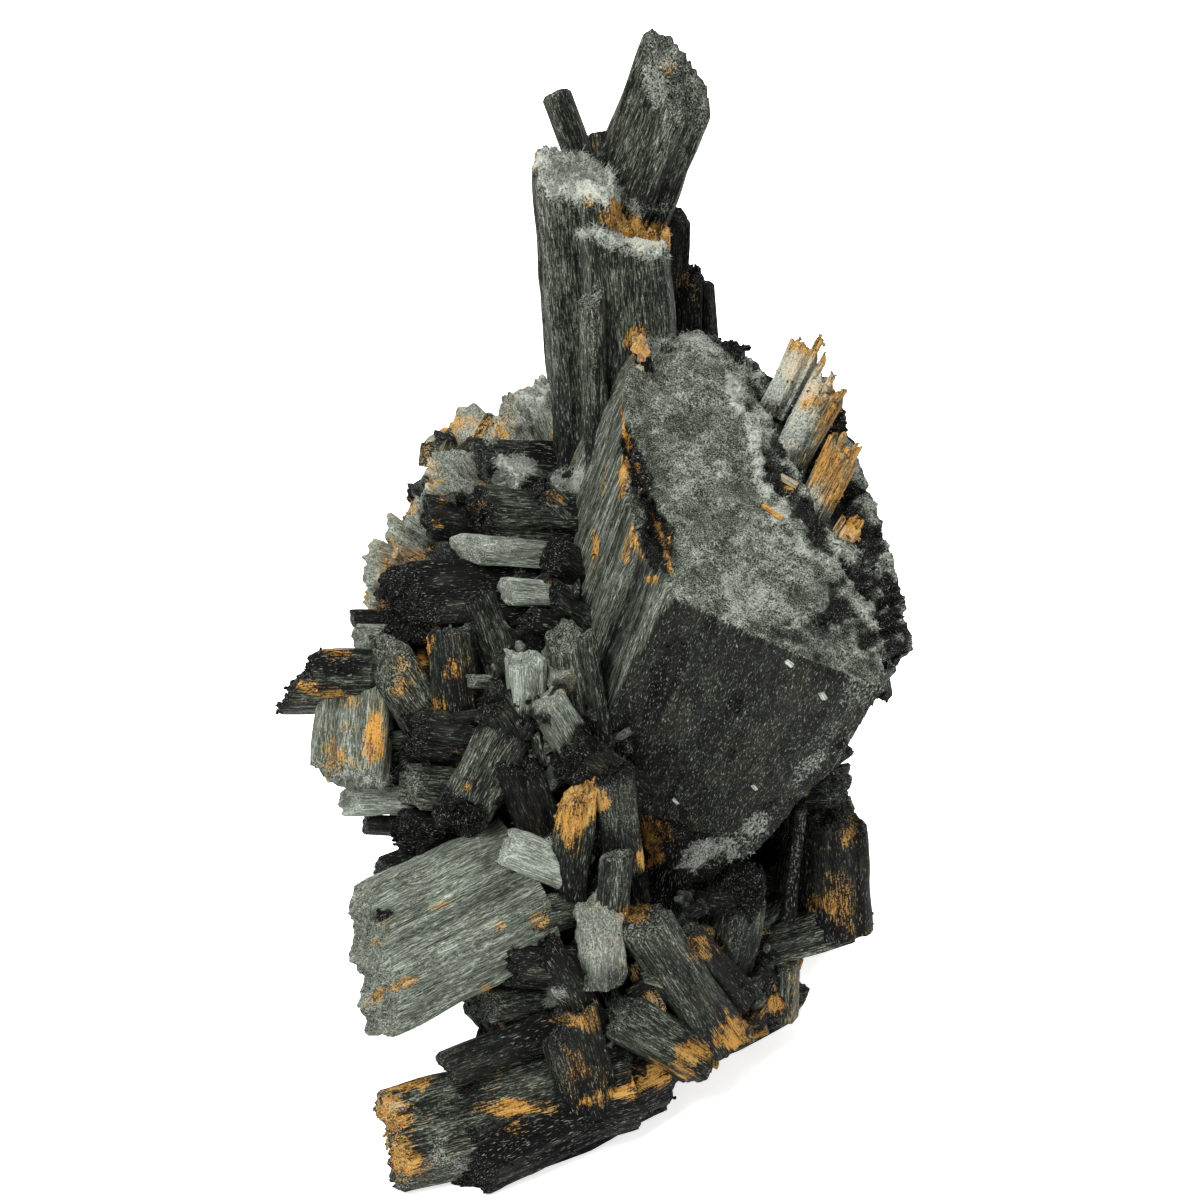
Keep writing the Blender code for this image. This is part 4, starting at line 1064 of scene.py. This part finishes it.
def pattern_shard():
    """One small crystal, a millimetre wide and long, with a worn, sloping end."""
    bpy.ops.object.select_all(action="DESELECT")
    bpy.ops.mesh.primitive_cylinder_add(vertices=6, radius=0.5, depth=1.0, location=(0.0, 0.0, 0.5))
    shard = bpy.context.object
    bpy.ops.object.transform_apply(location=True, rotation=False, scale=False)
    bpy.ops.object.mode_set(mode="EDIT")
    bpy.ops.mesh.select_all(action="DESELECT")
    bpy.ops.object.mode_set(mode="OBJECT")
    for face in shard.data.polygons:
        face.select = face.normal.z > 0.9
    bpy.ops.object.mode_set(mode="EDIT")
    bpy.ops.mesh.select_mode(type="FACE")
    bpy.ops.mesh.inset(thickness=0.1, depth=0.06)
    bpy.ops.mesh.select_mode(type="VERT")
    bpy.ops.object.mode_set(mode="OBJECT")
    places = np.array([vert.co for vert in shard.data.vertices])
    faces = [tuple(face.vertices) for face in shard.data.polygons]
    bpy.data.objects.remove(shard)
    return places, faces


def pattern_crumb():
    """One angular crumb, a millimetre across, with eight faces."""
    bpy.ops.object.select_all(action="DESELECT")
    bpy.ops.mesh.primitive_uv_sphere_add(segments=4, ring_count=2, radius=0.5)
    crumb = bpy.context.object
    places = np.array([vert.co for vert in crumb.data.vertices])
    faces = [tuple(face.vertices) for face in crumb.data.polygons]
    bpy.data.objects.remove(crumb)
    return places, faces


def copies(name, pattern, sites):
    """One piece of many copies of a pattern; a site is a middle, three axes with their lengths, and marks."""
    shape, faces = pattern
    places, fibres, rows, marks = [], [], [], {key: [] for key in MARKS}
    for number, (middle, axes, looks) in enumerate(sites):
        jitter = 1.0 + 0.16 * noise(shape * 3.1 + number * 7.3, 1.0, 51)
        local = shape * jitter[:, None]
        places.append(middle + local @ axes)
        lengths = np.linalg.norm(axes, axis=1)
        fibres.append(local * lengths + number * np.array((3.7, 5.1, 2.3)))
        rows += [[corner + number * len(shape) for corner in face] for face in faces]
        for key in MARKS:
            marks[key].append(np.full(len(shape), looks[key]))
    mesh = bpy.data.meshes.new(name)
    mesh.from_pydata(in_metres(np.concatenate(places)).tolist(), [], rows)
    write_marks(mesh, np.concatenate(fibres), {key: np.concatenate(marks[key]) for key in MARKS})
    piece = bpy.data.objects.new(name, mesh)
    bpy.context.scene.collection.objects.link(piece)
    return piece


def turned_axes(way, width, thick, length, turn):
    """Three directions with lengths: width and thickness across, length along the way."""
    way = way.normalized()
    across = way.orthogonal().normalized()
    across = Matrix.Rotation(turn, 3, way) @ across
    return np.array([across * width, way.cross(across) * thick, way * length])


def inside_box(places):
    """Whether all the places, in millimetres, are in the specimen's own box and above the ground."""
    low, high = np.array(cad_box[0]) / MM - BOX_MARGIN, np.array(cad_box[1]) / MM + BOX_MARGIN
    low[2] = GROUND_MARGIN
    local = places - np.array(FOOT_MIDDLE)
    return bool((local > low).all() and (local < high).all())


def shards():
    """Small crystals that grow every way out of the matrix where no large one covers it."""
    settings = bpy.context.scene.amphibole
    mass = bpy.data.objects["matrix"]
    places, normals = mesh_arrays(mass.data)
    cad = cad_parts[NODE].data
    skin = BVHTree.FromPolygons([v.co for v in cad.vertices], [tuple(p.vertices) for p in cad.polygons])
    chance = random.Random(SHARD_SEED)
    pattern = pattern_shard()
    sites = []
    for _ in range(settings.shard_count * SHARD_TRIES):
        if len(sites) == settings.shard_count:
            break
        number = chance.randrange(len(places))
        place, normal = Vector(places[number]), Vector(normals[number])
        here, local = np.array([place]), (place - FOOT_MIDDLE) * MM
        if patch_share(here, BARE_PATCHES)[0] > SHARD_BARE:
            continue
        near, out, _, _ = skin.find_nearest(local)
        if (local - near).dot(out) < -SHARD_INSIDE * MM:
            continue
        tangent = Vector([chance.uniform(-1.0, 1.0) for _ in range(3)])
        way = normal * chance.uniform(*SHARD_OUTWARD) + tangent * SHARD_SIDEWAYS
        if way.dot(normal) < SHARD_LEAST_OUTWARD:
            continue
        width = min(SHARD_WIDTH[1], SHARD_WIDTH[0] + chance.expovariate(SHARD_RARITY))
        length = width * chance.uniform(*SHARD_LENGTH)
        thick = width * chance.uniform(*SHARD_THICKNESS)
        axes = turned_axes(way, width, thick, length, chance.uniform(0.0, math.pi))
        root = np.array(place - way.normalized() * SHARD_SINK * length)
        tip = (Vector(root + axes[2]) - FOOT_MIDDLE) * MM
        near, out, _, _ = skin.find_nearest(tip)
        if (tip - near).dot(out) > SHARD_OUTSIDE * MM:
            continue
        ends = np.array([root, root + axes[2]])
        if not inside_box(ends) or ends[:, 2].min() < width:
            continue
        rust, tone, frost = (chance.choice(values) for values in (SHARD_RUST, SHARD_TONE, SHARD_FROST))
        sites.append((root, axes, {
            "frost": max(frost, patch_share(here, FROST_PATCHES)[0]),
            "rust": max(rust, patch_share(here, RUST_PATCHES)[0]),
            "grit": chance.uniform(*SHARD_GRIT),
            "tone": tone,
        }))
    return finish_piece(copies("shards", pattern, sites), fibrous_amphibole(), GRAIN_EDGE)


def pattern_whisker():
    """One needle, a millimetre wide at its foot and long, with three sides."""
    foot = [(math.cos(turn), math.sin(turn), 0.0) for turn in np.radians((0.0, 120.0, 240.0))]
    return np.array(foot + [(0.0, 0.0, 2.0)]) * 0.5, [(0, 2, 1), (0, 1, 3), (1, 2, 3), (2, 0, 3)]


def crumb_sites(pieces, mark, count, sizes, flatness, looks, seed):
    """Places for crumbs where the pieces have much of a mark; ochre ones apart, none lies on ochre."""
    chance = random.Random(seed)
    places, normals, shares = [], [], []
    for piece in pieces:
        here, ways = mesh_arrays(piece.data)
        share, ochre = (np.empty(len(here), np.float32) for _ in range(2))
        piece.data.attributes[mark].data.foreach_get("value", share)
        piece.data.attributes["rust"].data.foreach_get("value", ochre)
        if mark != "rust":
            share *= 1.0 - ochre
        keep = share > 0.5
        places.append(here[keep])
        normals.append(ways[keep])
        shares.append(share[keep])
    places, normals, shares = np.concatenate(places), np.concatenate(normals), np.concatenate(shares)
    total = np.cumsum(shares)
    sites = []
    for _ in range(count):
        number = int(np.searchsorted(total, chance.uniform(0.0, total[-1])))
        number = min(number, len(places) - 1)
        size = chance.uniform(*sizes) * chance.uniform(0.5, 1.0)
        way = Vector(normals[number]) + Vector([chance.uniform(-0.7, 0.7) for _ in range(3)])
        length, turn = size * chance.uniform(0.6, 1.6), chance.uniform(0.0, math.pi)
        axes = turned_axes(way, size, size * flatness, length, turn)
        middle = places[number] + normals[number] * size * chance.uniform(0.0, 0.35)
        if inside_box(np.array([middle])) and middle[2] > size:
            sites.append((middle, axes, looks))
    return sites


def whiskers():
    """Fine pale needles: fur on the crystals' frosted ends and edges, felt on the great prism's end."""
    count = bpy.context.scene.amphibole.whisker_count
    chance = random.Random(WHISKER_SEED)
    sites = []
    for names, share, lengths, upright in WHISKER_GROUNDS:
        pieces = [bpy.data.objects[name] for name in names]
        feet = crumb_sites(pieces, "frost", int(count * share), (1.0, 1.0), 1.0, None, WHISKER_SITE_SEED)
        for middle, axes, _ in feet:
            way = Vector(axes[2]).normalized()
            way = way * upright + Vector([chance.uniform(-1.0, 1.0) for _ in range(3)]) * WHISKER_SPREAD
            width = chance.uniform(*WHISKER_WIDTH)
            needle = turned_axes(way, width, width, chance.uniform(*lengths), 0.0)
            frost, tone = chance.uniform(*WHISKER_FROST), chance.uniform(*WHISKER_TONE)
            looks = {"frost": frost, "rust": 0.0, "grit": 0.0, "tone": tone}
            if inside_box(np.array([middle + needle[2]])):
                sites.append((middle - WHISKER_SINK * needle[2], needle, looks))
    return finish_piece(copies("whiskers", pattern_whisker(), sites), fibrous_amphibole(), GRAIN_EDGE)


def chips():
    """Loose-looking chips and grains that stick to the faces, each where the eye's line meets its piece."""
    eye = (EYE_AIM - FOOT_MIDDLE - SIGHT * EYE_DISTANCE) * MM
    chance = random.Random(CHIP_SEED)
    sites = []
    for name, across, rise, length, width, turn, frost, rust in CHIPS:
        aim = (seen(across, rise, 0.0) - FOOT_MIDDLE) * MM
        hit, place, normal, _ = bpy.data.objects[name].ray_cast(eye, (aim - eye).normalized())
        if not hit:
            raise RuntimeError(f"no surface for a chip on {name} at {across}, {rise}")
        place, face_up = place / MM + FOOT_MIDDLE, SIGHT_UP - normal * SIGHT_UP.dot(normal)
        way = Matrix.Rotation(math.radians(turn), 3, normal) @ face_up.normalized()
        side = way.cross(normal)
        axes = np.array([side * width, -normal * width * chance.uniform(0.5, 0.8), way * length])
        root = np.array(place) - 0.5 * axes[2] + 0.2 * width * np.array(normal)
        sites.append((root, axes, {"frost": frost, "rust": rust, "grit": 0.0, "tone": 0.9}))
    return finish_piece(copies("chips", pattern_shard(), sites), fibrous_amphibole(), GRAIN_EDGE)


def crumbs():
    """Pale crumbs of felt where pieces are frosted, black grains where pieces are black or carry painted
    shade, ochre where rusty.
    """
    count = bpy.context.scene.amphibole.crumb_count
    pieces = [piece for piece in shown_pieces() if "frost" in piece.data.attributes and piece.name != "shards"]
    pattern = pattern_crumb()
    for name, mark, part, sizes, looks, seed in CRUMB_KINDS:
        looks = dict(zip(MARKS, looks))
        sites = crumb_sites(pieces, mark, count // part, sizes, CRUMB_FLATNESS, looks, seed)
        finish_piece(copies(name, pattern, sites), fibrous_amphibole(), GRAIN_EDGE)


def add_node(tree, kind, inputs=None, **settings):
    """Adds a node. inputs gives a value or another node's output for each named or numbered socket."""
    made = tree.nodes.new(kind)
    for name, value in settings.items():
        setattr(made, name, value)
    for name, value in (inputs or {}).items():
        if isinstance(value, bpy.types.NodeSocket):
            tree.links.new(value, made.inputs[name])
        else:
            made.inputs[name].default_value = value
    return made


def mixed(tree, share, first, second, blend="MIX"):
    """Two colours mixed by a share from 0 to 1."""
    return add_node(
        tree, "ShaderNodeMix", {0: share, 6: first, 7: second}, data_type="RGBA", blend_type=blend
    ).outputs[2]


def counted(tree, operation, *values, clamp=False):
    """One sum on one to three values."""
    return add_node(
        tree, "ShaderNodeMath", dict(enumerate(values)), operation=operation, use_clamp=clamp
    ).outputs[0]


def spread(tree, value, low, high, to_low=0.0, to_high=1.0):
    """A value stretched from one range to another and kept inside it."""
    return add_node(
        tree, "ShaderNodeMapRange", {0: value, 1: low, 2: high, 3: to_low, 4: to_high}
    ).outputs[0]


def grain_noise(tree, place, size, detail=2.0, rough=0.55):
    """Noise with one knot for each size, in millimetres across, across and along."""
    scaled = add_node(tree, "ShaderNodeMapping", {0: place, 3: [1.0 / part for part in size]})
    inputs = {"Vector": scaled.outputs[0], "Scale": 1.0, "Detail": detail, "Roughness": rough}
    return add_node(tree, "ShaderNodeTexNoise", inputs).outputs[0]


def fibrous_amphibole():
    """Amphibole, cleaved along its fibres and broken across them: silky streaks on the sides, felted ends,
    pale weathered felt on edges, ochre limonite stains, black grains, black painted shade in the hollows and
    painted glints."""
    ready = bpy.data.materials.get("fibrous_amphibole_cleaved")
    if ready:
        return ready
    settings = bpy.context.scene.amphibole
    material = bpy.data.materials.new("fibrous_amphibole_cleaved")
    material.use_nodes = True
    tree = material.node_tree
    shader = tree.nodes["Principled BSDF"]
    kept = {name: add_node(tree, "ShaderNodeAttribute", attribute_name=name) for name in (*MARKS, "fibre")}
    marks = {name: kept[name].outputs["Fac"] for name in MARKS}
    fibre = kept["fibre"].outputs["Vector"]
    width = settings.fibre_width / MM

    # Bundles of fibres a tenth of a millimetre wide and many times as long, the hairs on them, whose pale
    # dashes are partly painted glints, broad bands of both, the felt across their ends and the clouds of
    # weather over everything.
    bundles = grain_noise(tree, fibre, (width, width, width * 20.0), 2.0, 0.6)
    hairs = grain_noise(tree, fibre, (width * 0.8, width * 0.8, width * 6.0), 1.0)
    bands = grain_noise(tree, fibre, (0.6, 0.6, 14.0), 2.0, 0.6)
    felt = grain_noise(tree, fibre, (width * 1.6,) * 3, 3.0, 0.75)
    clouds = grain_noise(tree, fibre, (3.0, 3.0, 5.0), 3.0, 0.6)
    streaks = counted(
        tree, "ADD", counted(tree, "MULTIPLY", bundles, 0.6), counted(tree, "MULTIPLY", hairs, 0.4))
    patterns = {"streaks": streaks, "hairs": hairs, "bands": bands, "clouds": clouds, "felt": felt}

    # How pale the rock is here: the crystal's own shade, moved by each pattern, less so where it is pale.
    strength = spread(tree, marks["tone"], 0.45, 0.7, 1.0, 0.5)
    shade = marks["tone"]
    for name, *ends in SHADE_MOVES:
        moved = counted(tree, "MULTIPLY", strength, spread(tree, patterns[name], *ends))
        shade = counted(tree, "ADD", shade, moved)
    palette = add_node(tree, "ShaderNodeValToRGB", {0: shade})
    ramp = palette.color_ramp
    ramp.elements[0].color = settings.dark
    ramp.elements[1].color = settings.bleached
    ramp.elements.new(0.25).color = settings.dark_green
    ramp.elements.new(0.5).color = settings.green
    ramp.elements.new(0.75).color = settings.pale
    body = palette.outputs[0]

    # A little olive brown where weather has got in.
    body = mixed(tree, spread(tree, clouds, 0.52, 0.68, 0.0, 0.25), body, linear(OLIVE_BROWN))

    # Black grains, and shade painted black in hollows, in the pit and on down-facing sides, with glints
    # painted in as pale specks.
    grit_and_shade_mask = counted(tree, "ADD", marks["grit"], counted(tree, "MULTIPLY", felt, 2.0))
    painted_glints = mixed(tree, spread(tree, hairs, 0.63, 0.7, 0.0, 0.45), settings.grit, settings.frost)
    body = mixed(tree, spread(tree, grit_and_shade_mask, 1.2, 1.6), body, painted_glints)

    # Ochre stain along the fibres, brown between them and paler in bands where it is dry.
    along = counted(
        tree, "ADD", counted(tree, "MULTIPLY", streaks, 2.2), counted(tree, "MULTIPLY", felt, 1.6))
    patchy = spread(tree, clouds, 0.3, 0.6, -0.45, 0.1)
    stained = counted(tree, "ADD", marks["rust"], counted(tree, "ADD", along, patchy))
    bright = counted(tree, "ADD", along, spread(tree, clouds, 0.35, 0.65, -0.3, 0.25))
    stain = mixed(tree, spread(tree, bright, 1.7, 2.15), settings.deep_rust, settings.rust)
    stain = mixed(tree, spread(tree, bands, 0.45, 0.6, 0.0, 0.6), stain, linear(DRY_RUST))
    body = mixed(tree, spread(tree, stained, 2.35, 2.75, 0.0, 0.95), body, stain)

    # Pale felt of needles.
    dusted = counted(tree, "ADD", marks["frost"], counted(tree, "MULTIPLY", felt, 2.4))
    dusted = counted(tree, "SUBTRACT", dusted, counted(tree, "MULTIPLY", marks["grit"], 0.25))
    body = mixed(tree, spread(tree, dusted, 1.5, 2.2, 0.0, 0.92), body, settings.frost)

    tree.links.new(body, shader.inputs["Base Color"])
    rough = spread(tree, streaks, 0.3, 0.7, 0.42, 0.72)
    rough = counted(tree, "ADD", rough, counted(tree, "MULTIPLY", marks["frost"], 0.25), clamp=True)
    tree.links.new(rough, shader.inputs["Roughness"])
    shader.inputs["IOR"].default_value = 1.64
    shader.inputs["Specular IOR Level"].default_value = 0.04
    height = counted(tree, "ADD", streaks, counted(tree, "MULTIPLY", felt, 0.5))
    bump = add_node(tree, "ShaderNodeBump", {"Strength": 1.0, "Distance": BUMP_HEIGHT * MM, "Height": height})
    tree.links.new(bump.outputs[0], shader.inputs["Normal"])
    return material


def light_table():
    """Opal acrylic lit from below, which leaves a specimen almost no shadow."""
    material = bpy.data.materials.new("opal_acrylic_light_table")
    material.use_nodes = True
    shader = material.node_tree.nodes["Principled BSDF"]
    shader.inputs["Base Color"].default_value = linear("#f7f7f6")
    shader.inputs["Roughness"].default_value = 0.9
    shader.inputs["Emission Color"].default_value = linear("#ffffff")
    shader.inputs["Emission Strength"].default_value = 0.6
    return material


def area_light(name, place, size, power):
    """A soft square light that looks at the specimen."""
    bpy.ops.object.select_all(action="DESELECT")
    bpy.ops.object.light_add(type="AREA", location=place)
    light = bpy.context.object
    light.name = name
    light.data.size = size
    light.data.energy = power
    light.rotation_euler = (Vector(LIGHTS_AIM) - Vector(place)).to_track_quat("-Z", "Y").to_euler()


class BuildOperator:
    """What every building step shares."""

    bl_options = {"REGISTER", "UNDO"}

    def execute(self, context):
        self.make()
        return {"FINISHED"}


class AMPHIBOLE_OT_matrix(BuildOperator, bpy.types.Operator):
    """Dark granular matrix that all crystals grow from"""

    bl_idname = "amphibole.matrix"
    bl_label = "Matrix"

    def make(self):
        matrix()


class AMPHIBOLE_OT_great_prism(BuildOperator, bpy.types.Operator):
    """The great blocky prism and the rough ground beside its end"""

    bl_idname = "amphibole.great_prism"
    bl_label = "Great prism"

    def make(self):
        great_prism()
        rough_ground()


class AMPHIBOLE_OT_crystals(BuildOperator, bpy.types.Operator):
    """The large crystals of the side that shows, group by group"""

    bl_idname = "amphibole.crystals"
    bl_label = "Crystals in front"

    def make(self):
        first = 0
        for name, table in (
            ("column", COLUMN),
            ("splinters", SPLINTERS),
            ("upper_left", UPPER_LEFT),
            ("left_middle", LEFT_MIDDLE),
            ("lower_left", LOWER_LEFT),
            ("right_lower", RIGHT_LOWER),
            ("foot", FOOT),
        ):
            parts = seen_crystals(name, table, first)
            first += len(table)
            finish_piece(joined(name, parts), fibrous_amphibole(), cut=name == "foot")


class AMPHIBOLE_OT_far_crystals(BuildOperator, bpy.types.Operator):
    """The crystals of the far side"""

    bl_idname = "amphibole.far_crystals"
    bl_label = "Crystals behind"

    def make(self):
        finish_piece(joined("far_crystals", far_crystals()), fibrous_amphibole(), cut=True)


class AMPHIBOLE_OT_shards(BuildOperator, bpy.types.Operator):
    """Small crystals scattered over the matrix"""

    bl_idname = "amphibole.shards"
    bl_label = "Shards"

    def make(self):
        shards()


class AMPHIBOLE_OT_crumbs(BuildOperator, bpy.types.Operator):
    """Crumbs of pale felt, black grains and ochre"""

    bl_idname = "amphibole.crumbs"
    bl_label = "Crumbs"

    def make(self):
        crumbs()
        whiskers()
        chips()


class AMPHIBOLE_OT_stage(BuildOperator, bpy.types.Operator):
    """Pale floor, soft light and the camera"""

    bl_idname = "amphibole.stage"
    bl_label = "Stage"

    def make(self):
        scene = bpy.context.scene
        bpy.ops.object.select_all(action="DESELECT")
        bpy.ops.mesh.primitive_plane_add(size=FLOOR_SIZE, location=(0.0, 0.0, 0.0))
        floor = bpy.context.object
        floor.name = "floor"
        floor.data.materials.append(light_table())
        floor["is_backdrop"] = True
        for name, place, size, power in LIGHTS:
            area_light(name, place, size, power)
        world = bpy.data.worlds.new("soft_room")
        world.use_nodes = True
        background = world.node_tree.nodes["Background"]
        background.inputs["Color"].default_value = linear("#fbfcff")
        background.inputs["Strength"].default_value = ROOM_LIGHT
        scene.world = world
        scene.view_settings.view_transform = "Standard"
        lens = bpy.data.cameras.new("camera")
        lens.sensor_width = SENSOR_WIDTH
        lens.lens = SENSOR_WIDTH * EYE_DISTANCE / VIEW_WIDTH
        lens.clip_start, lens.clip_end = CAMERA_CLIP
        camera = bpy.data.objects.new("camera", lens)
        scene.collection.objects.link(camera)
        aim = (EYE_AIM - FOOT_MIDDLE) * MM
        turn = Matrix((Vector((1.0, 0.0, 0.0)), SIGHT_UP, -SIGHT)).transposed()
        camera.matrix_world = Matrix.Translation(aim - SIGHT * EYE_DISTANCE * MM) @ turn.to_4x4()
        scene.camera = camera


class AMPHIBOLE_PT_panel(bpy.types.Panel):
    """Sizes, colours and building steps"""

    bl_idname = "AMPHIBOLE_PT_panel"
    bl_label = "Amphibole cluster"
    bl_space_type = "VIEW_3D"
    bl_region_type = "UI"
    bl_category = "Amphibole"

    def draw(self, context):
        column = self.layout.column()
        for name in AmphiboleSettings.__annotations__:
            column.prop(context.scene.amphibole, name)
        for step in STEPS:
            column.operator(step.bl_idname)


STEPS = (
    AMPHIBOLE_OT_matrix,
    AMPHIBOLE_OT_great_prism,
    AMPHIBOLE_OT_crystals,
    AMPHIBOLE_OT_far_crystals,
    AMPHIBOLE_OT_shards,
    AMPHIBOLE_OT_crumbs,
    AMPHIBOLE_OT_stage,
)


def register():
    for kind in (AmphiboleSettings, *STEPS, AMPHIBOLE_PT_panel):
        bpy.utils.register_class(kind)
    bpy.types.Scene.amphibole = PointerProperty(type=AmphiboleSettings)


def unregister():
    del bpy.types.Scene.amphibole
    for kind in (AMPHIBOLE_PT_panel, *reversed(STEPS), AmphiboleSettings):
        bpy.utils.unregister_class(kind)


def main():
    register()
    bpy.ops.amphibole.matrix()
    bpy.ops.amphibole.great_prism()
    bpy.ops.amphibole.crystals()
    bpy.ops.amphibole.far_crystals()
    bpy.ops.amphibole.shards()
    bpy.ops.amphibole.crumbs()
    bpy.ops.amphibole.stage()


if __name__ == "__main__":
    main()
